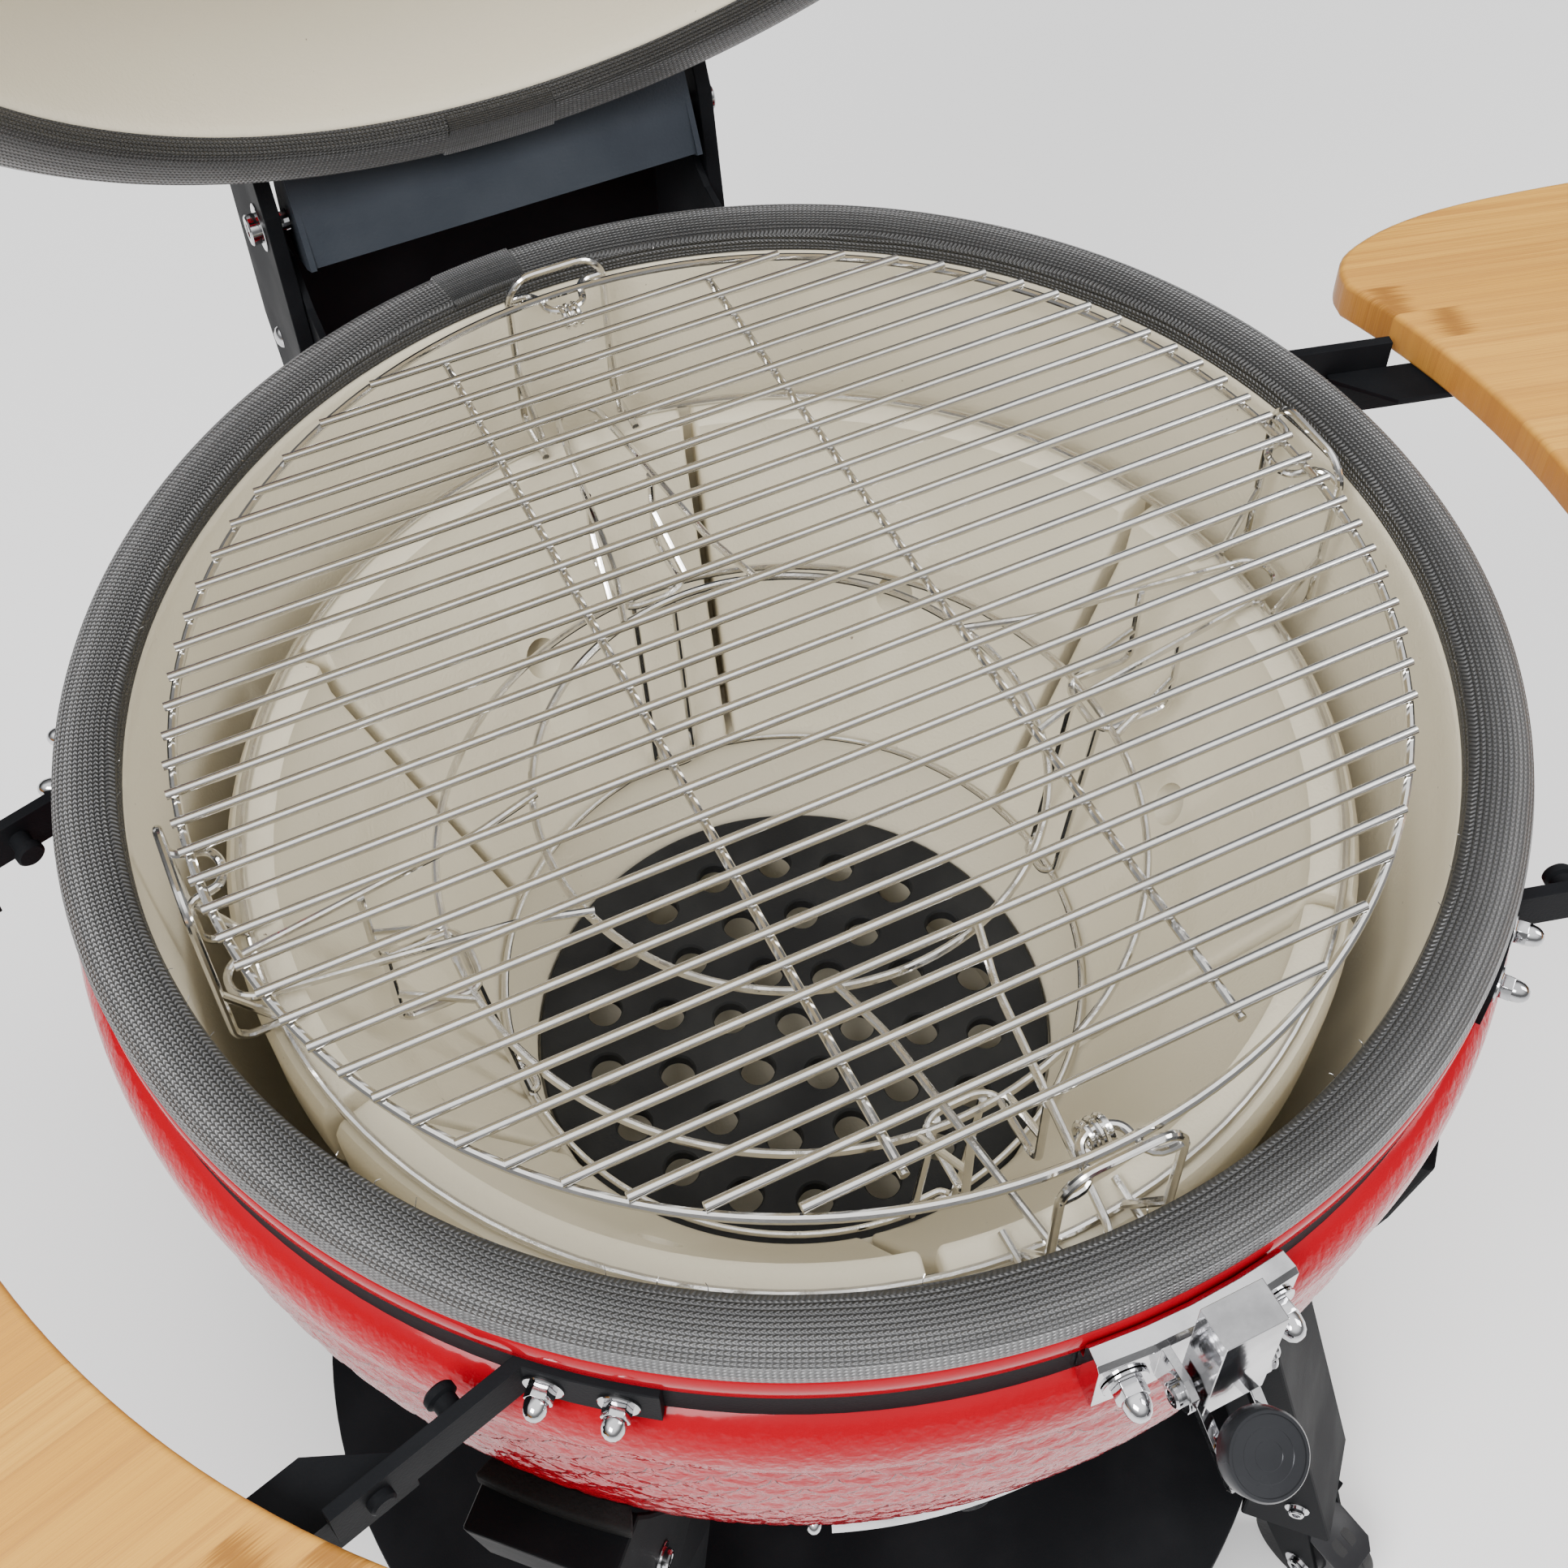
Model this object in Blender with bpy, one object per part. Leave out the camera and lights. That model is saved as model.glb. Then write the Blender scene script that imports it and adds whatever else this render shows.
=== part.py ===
"""Ceramic charcoal grill on a four-wheeled stand, with folding side shelves and its lid open.

Lengths are millimetres in the grill's own frame until add_node() makes them world metres: the bowl's
axis is x = y = 0, the middle of the bowl's gasket is z = 0, and the front is -Y. An azimuth is
measured about that axis from the front towards +X. The lid is drawn closed, and its empty opens it.
"""

import math

import bmesh
import bpy
from mathutils import Matrix, Vector

MM = 0.001

# Driving dimensions
RIM_HEIGHT = 775.0
BOWL_AXIS_Y = -57.67
LID_OPEN_DEG = 62.0
HINGE_Y = 352.0
HINGE_Z = 22.0
GAP = 0.3
RING_STEPS = 36
BAND_RADIUS = 300.8
BRACKET_RADIUS = BAND_RADIUS + 0.6
GROOVE_RADIUS = 297.5
SHOULDER_RADIUS = 310.0
BODY_GASKET = (276.2, 305.0, -5.5, 5.5)
LID_GASKET = (277.4, 303.2, 6.1, 17.1)
BODY_BAND_Z = (-39.6, -20.4)
LID_BAND_Z = (31.4, 51.0)

FIREBOX_PARTS = 6
FIREBOX_FIRST_GAP = -13.0
FIREBOX_GAP_HALF = 0.75
FIREBOX_HOLE_RADIUS = 10.0
FIREBOX_HOLE_Z = -165.0

COAL_GRATE_RADIUS = 133.5
COAL_GRATE_Z = (-305.7, -298.0)
COAL_HOLE_RADIUS = 9.0
COAL_HOLE_PITCH = 20.0

GRATE_RADIUS = 257.5
GRATE_Z = (8.0, 14.0)
ROD_PITCH = 14.67
ROD_COUNT = 32
ROD_RADIUS = 2.0

WIRE_RADIUS = 2.0
RACK_RING_Z = -75.6
RACK_HANDLE_RADIUS = 261.0
RACK_HANDLE_TOP = 18.0

SHELF_AZIMUTH = 75.0
SHELF_TOP = -13.0
SHELF_THICKNESS = 22.0
SHELF_INNER_RADIUS = 378.0
SHELF_HALF_LENGTH = 252.0
SHELF_OUTER = 592.0
SHELF_PIVOT = (318.0, -42.0)
ARM_SIDE = (156.3, 161.3)
ARM_Z = (-40.8, -20.4)
RAIL_SIDE = (152.5, 155.5)

LEG_AZIMUTHS = {"front_left": -45.0, "front_right": 45.0, "back_left": -135.0, "back_right": 135.0}
LEG_HALF_WIDTH = 33.0
LEG_SHEET = 3.0
LEG_BOTTOM = -674.0
LOWER_SHELF_RADIUS = 299.0
LOWER_SHELF_TOP = -626.0
LOWER_SHELF_LIP = -642.0

CASTER_RADIUS_OUT = 328.0
CASTER_TRAIL = 28.0
WHEEL_RADIUS = 37.5
WHEEL_HALF_WIDTH = 12.5
WHEEL_BORE = 5.8
AXLE_RADIUS = 5.0

LATCH_PIVOT = (-327.0, -18.0)
DRAFT_Z = (-350.0, -284.0)
DRAFT_WINDOW = (-16.0, 2.0)
GAUGE_Z = 190.0
VENT_Z = 312.6

# Outer and inner outlines of the ceramic, as (radius, height), rim first
BOWL_OUTER = [
    (303, -6), (303, -20), (GROOVE_RADIUS, -20), (GROOVE_RADIUS, -40), (300.5, -40), (309.5, -53),
    (SHOULDER_RADIUS, -70), (306.5, -73), (305, -100), (301, -135), (293.5, -170), (283, -205),
    (270, -240), (252.5, -280), (228, -320), (190, -355), (150, -378), (120, -388),
]
BOWL_INNER = [(276, -6), (273, -80), (270, -120), (254, -200), (223, -280), (200, -320), (175, -350)]
LID_OUTER = [
    (303, 17.4), (303, 31), (GROOVE_RADIUS, 31), (GROOVE_RADIUS, 51.4), (300.5, 51.8), (309.5, 64.5),
    (SHOULDER_RADIUS, 81), (306.5, 84), (304, 120), (292, 165), (270, 205), (236, 240), (190, 266),
    (135, 283), (72, 292), (72, 300), (48, 300),
]
LID_INNER = [
    (276.5, 17.4), (276.5, 60), (266, 145), (246, 183), (212, 217), (165, 243), (110, 258), (48, 270),
]

# Colour, roughness and metallic value of each material
LOOKS = {
    "red_glaze": ((0.60, 0.012, 0.016), 0.12, 0.0),
    "cream_ceramic": ((0.62, 0.55, 0.43), 0.80, 0.0),
    "gasket_mesh": ((0.30, 0.30, 0.30), 0.60, 0.5),
    "black_steel": ((0.016, 0.017, 0.019), 0.45, 0.0),
    "grey_steel": ((0.035, 0.040, 0.048), 0.50, 0.2),
    "chrome": ((0.72, 0.72, 0.72), 0.12, 1.0),
    "cast_iron": ((0.030, 0.030, 0.031), 0.65, 0.1),
    "bamboo": ((0.62, 0.36, 0.12), 0.40, 0.0),
    "black_plastic": ((0.020, 0.020, 0.022), 0.40, 0.0),
    "wheel_rubber": ((0.030, 0.030, 0.032), 0.60, 0.0),
}


def clear_scene():
    for old in list(bpy.data.objects):
        bpy.data.objects.remove(old, do_unlink=True)


def material(name):
    made = bpy.data.materials.get(name)
    if made:
        return made
    colour, roughness, metallic = LOOKS[name]
    made = bpy.data.materials.new(name)
    made.use_nodes = True
    shader = made.node_tree.nodes["Principled BSDF"]
    shader.inputs["Base Color"].default_value = (*colour, 1.0)
    shader.inputs["Roughness"].default_value = roughness
    shader.inputs["Metallic"].default_value = metallic
    return made


# Points and outlines


def polar(radius, azimuth, z=0.0):
    angle = math.radians(azimuth)
    return Vector((radius * math.sin(angle), -radius * math.cos(angle), z))


def turn(azimuth):
    """Matrix that carries (outward, sideways, z) coordinates to this azimuth."""
    outward = polar(1.0, azimuth)
    return Matrix(((outward.x, -outward.y, 0, 0), (outward.y, outward.x, 0, 0), (0, 0, 1, 0), (0, 0, 0, 1)))


def arc(radius, first, last, count):
    """Points (u, v) on a circle, from angle first to last in degrees."""
    angles = [math.radians(first + (last - first) * k / (count - 1)) for k in range(count)]
    return [(radius * math.cos(a), radius * math.sin(a)) for a in angles]


def rectangle(left, right, low, high):
    return [(left, low), (right, low), (right, high), (left, high)]


def radius_at(outline, z):
    """Radius of an outline of (radius, height) points at a height."""
    for (r1, z1), (r2, z2) in zip(outline, outline[1:]):
        if min(z1, z2) <= z <= max(z1, z2) and z1 != z2:
            return r1 + (r2 - r1) * (z - z1) / (z2 - z1)
    return outline[-1][0]


def offset_line(points, distance):
    """The same open line moved sideways, to the right of its direction."""
    moved = []
    for k, point in enumerate(points):
        before = points[max(k - 1, 0)]
        after = points[min(k + 1, len(points) - 1)]
        along = Vector((after[0] - before[0], after[1] - before[1])).normalized()
        moved.append((point[0] - along.y * distance, point[1] + along.x * distance))
    return moved


# Solids, each a closed bmesh


def face_out(bm):
    """Turns every face of a closed solid outwards."""
    bmesh.ops.recalc_face_normals(bm, faces=bm.faces)
    if bm.calc_volume(signed=True) < 0:
        bmesh.ops.reverse_faces(bm, faces=bm.faces)
    return bm


def solid(points, faces):
    bm = bmesh.new()
    verts = [bm.verts.new(point) for point in points]
    for face in faces:
        bm.faces.new([verts[k] for k in face])
    return face_out(bm)


def loft(sections):
    """Solid through loops of equally many points, capped at both ends."""
    size = len(sections[0])
    points = [point for section in sections for point in section]
    faces = [tuple(range(size)), tuple(range(len(points) - size, len(points)))]
    for k in range(len(sections) - 1):
        for i in range(size):
            j = (i + 1) % size
            faces.append((k * size + i, k * size + j, (k + 1) * size + j, (k + 1) * size + i))
    return solid(points, faces)


def prism(outline, low, high):
    """Outline of (x, y) points extruded from z = low to z = high."""
    return loft([[(x, y, z) for x, y in outline] for z in (low, high)])


def side_prism(outline, low, high):
    """Outline of (y, z) points extruded from x = low to x = high."""
    return loft([[(x, y, z) for y, z in outline] for x in (low, high)])


def box(x, y, z):
    return prism(rectangle(*x, *y), *z)


def lathe(outline, steps=RING_STEPS, first=0.0, last=360.0):
    """Outline of (radius, z) points spun about the bowl's axis."""
    whole = last - first >= 360.0
    on_axis = outline[0][0] == 0
    bm = bmesh.new()
    start = [bm.verts.new(polar(radius, first, z)) for radius, z in outline]
    pairs = list(zip(start, start[1:]))
    if not on_axis:
        pairs.append((start[-1], start[0]))
    edges = [bm.edges.new(pair) for pair in pairs]
    spun = bmesh.ops.spin(
        bm, geom=start + edges, axis=(0, 0, 1), cent=(0, 0, 0), steps=steps, angle=math.radians(last - first)
    )
    if whole:
        bmesh.ops.remove_doubles(bm, verts=bm.verts, dist=0.001)
    else:
        bm.faces.new(start)
        bm.faces.new([item for item in spun["geom_last"] if isinstance(item, bmesh.types.BMVert)])
    return face_out(bm)


def aimed(bm, centre, axis):
    """Moves a solid made about +Z at the origin to a centre, with its axis along a direction."""
    swing = Vector((0, 0, 1)).rotation_difference(Vector(axis)).to_matrix().to_4x4()
    bm.transform(Matrix.Translation(centre) @ swing)
    return bm


def cylinder(radius, low, high, sides=16):
    bm = bmesh.new()
    bmesh.ops.create_cone(
        bm, cap_ends=True, segments=sides, radius1=radius, radius2=radius, depth=high - low
    )
    bm.transform(Matrix.Translation((0, 0, (low + high) / 2)))
    return bm


def wire(points, radius=WIRE_RADIUS, closed=False):
    """Round wire through points, made from a bevelled curve."""
    curve = bpy.data.curves.new("wire", "CURVE")
    curve.dimensions = "3D"
    curve.bevel_depth = radius
    curve.bevel_resolution = 1
    curve.use_fill_caps = True
    spline = curve.splines.new("POLY")
    spline.points.add(len(points) - 1)
    for slot, point in zip(spline.points, points):
        slot.co = (*point, 1.0)
    spline.use_cyclic_u = closed
    holder = bpy.data.objects.new("wire", curve)
    bpy.context.scene.collection.objects.link(holder)
    graph = bpy.context.evaluated_depsgraph_get()
    mesh = bpy.data.meshes.new_from_object(holder.evaluated_get(graph))
    bm = bmesh.new()
    bm.from_mesh(mesh)
    bmesh.ops.remove_doubles(bm, verts=bm.verts, dist=0.001)
    bpy.data.objects.remove(holder)
    bpy.data.meshes.remove(mesh)
    return face_out(bm)


def temporary(bm, collection):
    mesh = bpy.data.meshes.new("shape")
    bm.to_mesh(mesh)
    bm.free()
    made = bpy.data.objects.new("shape", mesh)
    collection.objects.link(made)
    return made


def combine(base, others, operation):
    """Boolean of one solid with a list of others, which may cross each other."""
    collection = bpy.data.collections.new("operands")
    bpy.context.scene.collection.children.link(collection)
    for other in others:
        temporary(other, collection)
    target = temporary(base, bpy.context.scene.collection)
    modifier = target.modifiers.new("combine", "BOOLEAN")
    modifier.operation = operation
    modifier.operand_type = "COLLECTION"
    modifier.solver = "EXACT"
    modifier.collection = collection
    graph = bpy.context.evaluated_depsgraph_get()
    mesh = bpy.data.meshes.new_from_object(target.evaluated_get(graph))
    result = bmesh.new()
    result.from_mesh(mesh)
    bmesh.ops.remove_doubles(result, verts=result.verts, dist=0.001)
    bmesh.ops.dissolve_degenerate(result, edges=result.edges, dist=0.001)
    for old in [target, *collection.objects]:
        bpy.data.objects.remove(old)
    bpy.data.collections.remove(collection)
    return result


def united(first, *others):
    return combine(first, others, "UNION")


def cut(base, *cutters):
    return combine(base, cutters, "DIFFERENCE")


# The tree of empties and the nodes that hang on it

CENTRES = {}


def add_empty(name, centre, parent=None, tilt_deg=0.0):
    """Empty on a joint's axis, at a centre in the grill's own frame."""
    empty = bpy.data.objects.new(name, None)
    empty.empty_display_size = 0.05
    bpy.context.scene.collection.objects.link(empty)
    CENTRES[name] = Vector(centre)
    if parent:
        empty.parent = parent
        empty.location = (CENTRES[name] - CENTRES[parent.name]) * MM
    else:
        empty.location = Vector((0, BOWL_AXIS_Y, RIM_HEIGHT)) * MM
    empty.rotation_euler.x = math.radians(tilt_deg)
    return empty


def add_node(name, bm, look, parent):
    bm.transform(Matrix.Scale(MM, 4) @ Matrix.Translation(-CENTRES[parent.name]))
    mesh = bpy.data.meshes.new(name)
    bm.to_mesh(mesh)
    bm.free()
    mesh.shade_smooth()
    mesh.set_sharp_from_angle(angle=math.radians(35))
    mesh.materials.append(material(look))
    node = bpy.data.objects.new(name, mesh)
    bpy.context.scene.collection.objects.link(node)
    node.parent = parent
    return node


# Bowl and what is fixed to it


def bowl_shape():
    floor_outer = BOWL_OUTER[-1][1]
    floor_inner = BOWL_INNER[-1][1]
    outline = [(0, floor_inner)] + list(reversed(BOWL_INNER)) + BOWL_OUTER + [(0, floor_outer)]
    window = lathe(rectangle(150, 300, -345, -290), 4, *DRAFT_WINDOW)
    return cut(lathe(outline), window)


def ring(inner, outer, low, high):
    return lathe(rectangle(inner, outer, low, high))


def firebox_segment(index):
    outline = [
        (229, -79), (232, -78), (246, -78), (251, -86), (250, -120), (215, -190), (176, -245),
        (147, -245), (227, -97),
    ]
    first = FIREBOX_FIRST_GAP + 60.0 * index + FIREBOX_GAP_HALF
    last = first + 60.0 - 2 * FIREBOX_GAP_HALF
    block = lathe(outline, 8, first, last)
    hole = aimed(cylinder(FIREBOX_HOLE_RADIUS, 140, 290, 12), (0, 0, FIREBOX_HOLE_Z), polar(1, (first + last) / 2))
    return cut(block, hole)


def firebox_base_shape():
    ledge = COAL_GRATE_Z[0] - GAP
    outline = [
        (147, -245.3), (190, -245.3), (192, -250), (192, -300), (165, -349.7), (120, -349.7),
        (120, ledge), (134.8, ledge), (135.4, -296),
    ]
    air_way = lathe(rectangle(100, 200, -340, -314), 4, *DRAFT_WINDOW)
    return cut(lathe(outline), air_way)


def draft_line():
    low, high = DRAFT_Z
    return [(radius_at(BOWL_OUTER, z), z) for z in (high, -320, low)]


def draft_shell(near, far, first, last, steps, line):
    outline = offset_line(line, near) + list(reversed(offset_line(line, far)))
    return lathe(outline, steps, first, last)


def draft_frame_shape():
    frame_plate = draft_shell(0.7, 3.0, -22.5, 22.5, 9, draft_line())
    window = lathe(rectangle(180, 290, -343, -291), 4, *DRAFT_WINDOW)
    return cut(frame_plate, window)


def draft_door_shape():
    line = [(radius_at(BOWL_OUTER, z), z) for z in (-287, -320, -347)]
    return draft_shell(3.7, 5.7, DRAFT_WINDOW[0] - 2, DRAFT_WINDOW[1] + 2, 6, line)


def draft_knob_shape():
    line = offset_line(draft_line(), 6.1)
    radius = radius_at(line, -315)
    slope = Vector((0.853, -0.522))
    azimuth = sum(DRAFT_WINDOW) / 2
    outward = turn(azimuth) @ Vector((slope.x, 0, slope.y))
    return aimed(cylinder(7, 0, 16, 12), polar(radius, azimuth, -315), outward)


def latch_bracket_shape():
    outline = [
        (BRACKET_RADIUS, -38), (BRACKET_RADIUS, -22), (304.5, -21), (304.5, -11), (306.5, -9),
        (313, -9), (315, -11), (315, -39), (313, -41), (305, -41),
    ]
    bar = lathe(outline, 4, -7.2, 7.2)
    lug = [(-311, -34), (-311, -11), (-327, -10), (-333, -14), (-333, -24), (-327, -28)]
    lugs = [side_prism(lug, *span) for span in ((-16.5, -13.3), (13.3, 16.5))]
    pin = aimed(cylinder(2.5, -15, 15, 12), (0, *LATCH_PIVOT), (1, 0, 0))
    return united(bar, *lugs, pin)


def latch_plane(along, above):
    """(y, z) at a distance along the latch's lever and above it, measured from its pivot."""
    reach = Vector((-0.84, -0.54))
    rise = Vector((-0.54, 0.84))
    point = Vector(LATCH_PIVOT) + reach * along + rise * above
    return point.x, point.y


def latch_lever_shape():
    hook = box((-11.8, 11.8), (-335, -320), (-26, 29))
    lever = [latch_plane(*corner) for corner in ((-2, -9), (38, -9), (38, -4.2), (-2, -4.2))]
    arms = [side_prism(lever, *span) for span in ((-11.8, -7.8), (7.8, 11.8))]
    bore = aimed(cylinder(3.1, -20, 20, 12), (0, *LATCH_PIVOT), (1, 0, 0))
    throat = box((-8.6, 8.6), (-331, -315), (-40, 24))
    return cut(united(hook, *arms), bore, throat)


def latch_knob_shape():
    return aimed(cylinder(15, -7, 7, 20), (0, *latch_plane(27.5, 3.4)), (0, -0.54, 0.84))


def hinge_bracket_shape():
    plate = lathe(rectangle(BRACKET_RADIUS, BRACKET_RADIUS + 3.5, -38, -22), 6, 158.8, 201.2)
    flange = [(283, -38), (283, -22), (322, -12), (345, 4), (397, -4), (397, -110), (378, -112), (330, -75), (300, -43)]
    flanges = [side_prism(flange, *span) for span in ((-111.7, -108), (108, 111.7))]
    back = box((-111, 111), (391.5, 395), (-109, -8))
    return united(plate, *flanges, back)


def hinge_cheek_shape(side):
    outline = [
        (322, -35), (334, 38), (343, 58), (356, 64), (370, 58), (425, 0), (415, -80), (397, -107),
        (365, -100), (334, -72),
    ]
    near, far = sorted((side * 112, side * 120))
    plate = side_prism(outline, near, far)
    return cut(plate, aimed(cylinder(5.4, -140, 140, 16), (0, HINGE_Y, HINGE_Z), (1, 0, 0)))


def hinge_pin_shape():
    return aimed(cylinder(5.0, -126, 126, 16), (0, HINGE_Y, HINGE_Z), (1, 0, 0))


# Stand


def leg_outer(z):
    """Distance of the leg's outer face from the bowl's axis: a waist between two flared ends."""
    line = [(315, -200), (306, -255), (290, -317), (277, -365), (273, -392), (277, -414), (355, LEG_BOTTOM)]
    return radius_at(line, z)


def leg_inner(z):
    """Inner edge of the leg's side plates: it follows the bowl, then runs down to the lower shelf."""
    if z > -318:
        return radius_at(BOWL_OUTER, z) + 2.0
    line = [(231.5, -318), (224, -392), (299.8, -620), (299.8, LEG_BOTTOM)]
    return radius_at(line, z)


LEG_LEVELS = (-200, -225, -255, -285, -318, -355, -392, -430, -520, -620, LEG_BOTTOM)


def leg_section(z, inner, outer, half):
    return [(inner, -half, z), (outer, -half, z), (outer, half, z), (inner, half, z)]


def leg_shape(azimuth):
    body = loft([leg_section(z, leg_inner(z), leg_outer(z), LEG_HALF_WIDTH) for z in LEG_LEVELS])
    top = LEG_LEVELS[0] - LEG_SHEET
    levels = (top, *LEG_LEVELS[1:-1], LEG_BOTTOM + LEG_SHEET)
    half = LEG_HALF_WIDTH - LEG_SHEET
    hollow = loft([leg_section(z, leg_inner(z) - 30, leg_outer(z) - LEG_SHEET, half) for z in levels])
    bm = cut(body, hollow)
    bm.transform(turn(azimuth))
    return bm


def lower_shelf_shape():
    sheet = 2.5
    edge = LOWER_SHELF_RADIUS
    outline = [
        (0, LOWER_SHELF_TOP), (edge, LOWER_SHELF_TOP), (edge, LOWER_SHELF_LIP), (edge - sheet, LOWER_SHELF_LIP),
        (edge - sheet, LOWER_SHELF_TOP - sheet), (0, LOWER_SHELF_TOP - sheet),
    ]
    tabs = []
    for azimuth in LEG_AZIMUTHS.values():
        tab = box((285, 336), (-29, 29), (LOWER_SHELF_LIP, LOWER_SHELF_TOP - 1))
        tab.transform(turn(azimuth))
        tabs.append(tab)
    return united(lathe(outline), *tabs)


# Each caster's wheel trails its swivel in its own direction
CASTER_TURNS = {"front_left": -80.0, "front_right": 20.0, "back_left": -150.0, "back_right": 130.0}


def caster_centre(corner):
    return polar(CASTER_RADIUS_OUT, LEG_AZIMUTHS[corner], LEG_BOTTOM - GAP)


def wheel_centre(corner):
    trail = polar(CASTER_TRAIL, CASTER_TURNS[corner])
    return caster_centre(corner) + trail + Vector((0, 0, WHEEL_RADIUS - RIM_HEIGHT - LEG_BOTTOM + GAP))


def caster_fork_shape(corner):
    """Fork in (along the trail, across, z) coordinates about its swivel, then turned into place."""
    axle_z = WHEEL_RADIUS - RIM_HEIGHT - LEG_BOTTOM + GAP
    plate = box((-24, 24), (-18, 18), (-5, 0))
    cheek = [(-20, -3), (20, -3), (39, axle_z + 8), (39, axle_z - 6), (30, axle_z - 11), (18, axle_z - 9), (-14, -24)]
    parts = []
    for low in (-17.5, 14.5):
        fork_side = loft([[(x, y, z) for x, z in cheek] for y in (low, low + 3)])
        parts.append(fork_side)
    parts.append(aimed(cylinder(AXLE_RADIUS, -16, 16, 12), (CASTER_TRAIL, 0, axle_z), (0, 1, 0)))
    bm = united(plate, *parts)
    bm.transform(Matrix.Translation(caster_centre(corner)) @ turn(CASTER_TURNS[corner]))
    return bm


def wheel_shape(corner):
    half = WHEEL_HALF_WIDTH
    outline = [
        (WHEEL_BORE, -half), (30, -half), (36, 2 - half), (WHEEL_RADIUS, 6 - half), (WHEEL_RADIUS, half - 6),
        (36, half - 2), (30, half), (WHEEL_BORE, half),
    ]
    across = polar(1.0, CASTER_TURNS[corner] + 90)
    return aimed(lathe(outline, 20), wheel_centre(corner), across)


# Inside the bowl


def coal_grate_shape():
    holes = []
    for circle in range(4):
        count = max(6 * circle, 1)
        for k in range(count):
            spot = polar(COAL_HOLE_PITCH * circle, 360.0 * k / count)
            hole = cylinder(COAL_HOLE_RADIUS, COAL_GRATE_Z[0] - 5, COAL_GRATE_Z[1] + 5, 6)
            hole.transform(Matrix.Translation(spot))
            holes.append(hole)
    disc = cylinder(COAL_GRATE_RADIUS, *COAL_GRATE_Z, RING_STEPS)
    return cut(disc, *holes)


def cooking_grate_shape():
    disc = cylinder(GRATE_RADIUS, *GRATE_Z, RING_STEPS)
    slots = []
    half_gap = ROD_PITCH / 2 - ROD_RADIUS
    for k in range(ROD_COUNT - 1):
        y = (ROD_COUNT / 2 - 1 - k) * ROD_PITCH
        reach = math.sqrt(249.0**2 - (abs(y) + half_gap) ** 2)
        slots.append(box((-reach, reach), (y - half_gap, y + half_gap), (GRATE_Z[0] - 5, GRATE_Z[1] + 5)))
    return cut(disc, *slots)


def wire_ring(radius, z, steps):
    return wire([polar(radius, 360.0 * k / steps, z) for k in range(steps)], closed=True)


def mirrored_path(half):
    """Path whose second half repeats the first on the other side of v = 0."""
    return half + [(u, -v, z) for u, v, z in reversed(half)]


def rack_wires(azimuth):
    """Handle, grate seat, hairpin and step wires at one of the rack's four corners."""
    out = RACK_HANDLE_RADIUS
    low = RACK_RING_Z
    top = RACK_HANDLE_TOP
    seat = GRATE_Z[0] - WIRE_RADIUS - GAP
    over = low + 3.2
    paths = [
        [(242.5, -25, low + 0.6), (256, -25, low + 0.6), (out, -25, low + 6), (out, -25, top - 8), (out, -17, top)],
        [(out, -26, seat), (out, -12, seat), (246, -9, seat), (243, -3, seat)],
        [(108, -34, over), (140, -25, over), (250, -11, over), (257, -5, over)],
        [(195, -17, over - 1), (195, -17, -118), (191, -17, -122), (161, -17, -122), (157, -10, -122)],
    ]
    return [wire([turn(azimuth) @ Vector(point) for point in mirrored_path(half)]) for half in paths]


def rack_shape():
    rings = [wire_ring(115, RACK_RING_Z, 14), wire_ring(164, -122, 18)]
    corners = [piece for azimuth in (0, 90, 180, 270) for piece in rack_wires(azimuth)]
    return united(wire_ring(243.5, RACK_RING_Z, 28), *rings, *corners)


# Side shelves, drawn for the right side in (u, v, z): u outward along the shelf's axis, v to the back


def shelf_matrix(side):
    mirror = Matrix.Diagonal((side, 1, 1, 1))
    return mirror @ turn(SHELF_AZIMUTH)


def shelf_place(bm, side):
    bm.transform(shelf_matrix(side))
    return face_out(bm)


def shelf_outline():
    inner = arc(SHELF_INNER_RADIUS, -31, 31, 17)
    corner = [(325, 207), (335, 221), (364, 236), (407, 246), (476, 251.5), (530, SHELF_HALF_LENGTH)]
    rim = [(558, 247), (571, 232)]
    bow = 18.0
    edge = [(SHELF_OUTER - bow * (v / 215.0) ** 2, v) for v in (215, 160, 80, 0, -80, -160, -215)]
    far_side = corner + rim
    near_side = [(u, -v) for u, v in reversed(far_side)]
    return inner + far_side + edge + near_side


def shelf_board_shape(side):
    return shelf_place(prism(shelf_outline(), SHELF_TOP - SHELF_THICKNESS, SHELF_TOP), side)


def shelf_rail_shape(side, end):
    """Angle under the board: end is 1 for the back rail and -1 for the front one."""
    inner, outer = RAIL_SIDE
    top = SHELF_TOP - SHELF_THICKNESS - GAP
    upright = box((303, 556), (inner, outer), (top - 26, top))
    flange = prism([(303, outer - 1), (303, inner), (331, 131), (556, 131), (556, outer - 1)], top - 3, top)
    bm = united(upright, flange)
    bm.transform(Matrix.Diagonal((1, end, 1, 1)))
    return shelf_place(bm, side)


def shelf_arm_shape(side, end):
    """Bent flat bar: a plate on the bowl's band, then a straight arm beside the shelf's rail."""
    near, far = ARM_SIDE
    inner = BRACKET_RADIUS
    outer = BRACKET_RADIUS + 4.0
    start = math.degrees(math.asin(near / inner))
    bend = math.degrees(math.asin(far / outer))
    outline = [(335, near)] + arc(inner, start, 40.9, 4) + arc(outer, 40.9, bend, 4) + [(335, far)]
    bm = prism(outline, *ARM_Z)
    bm.transform(Matrix.Diagonal((1, end, 1, 1)))
    return shelf_place(bm, side)


# Lid, drawn closed


def lid_dome_shape():
    return lathe(LID_OUTER + list(reversed(LID_INNER)))


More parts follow.
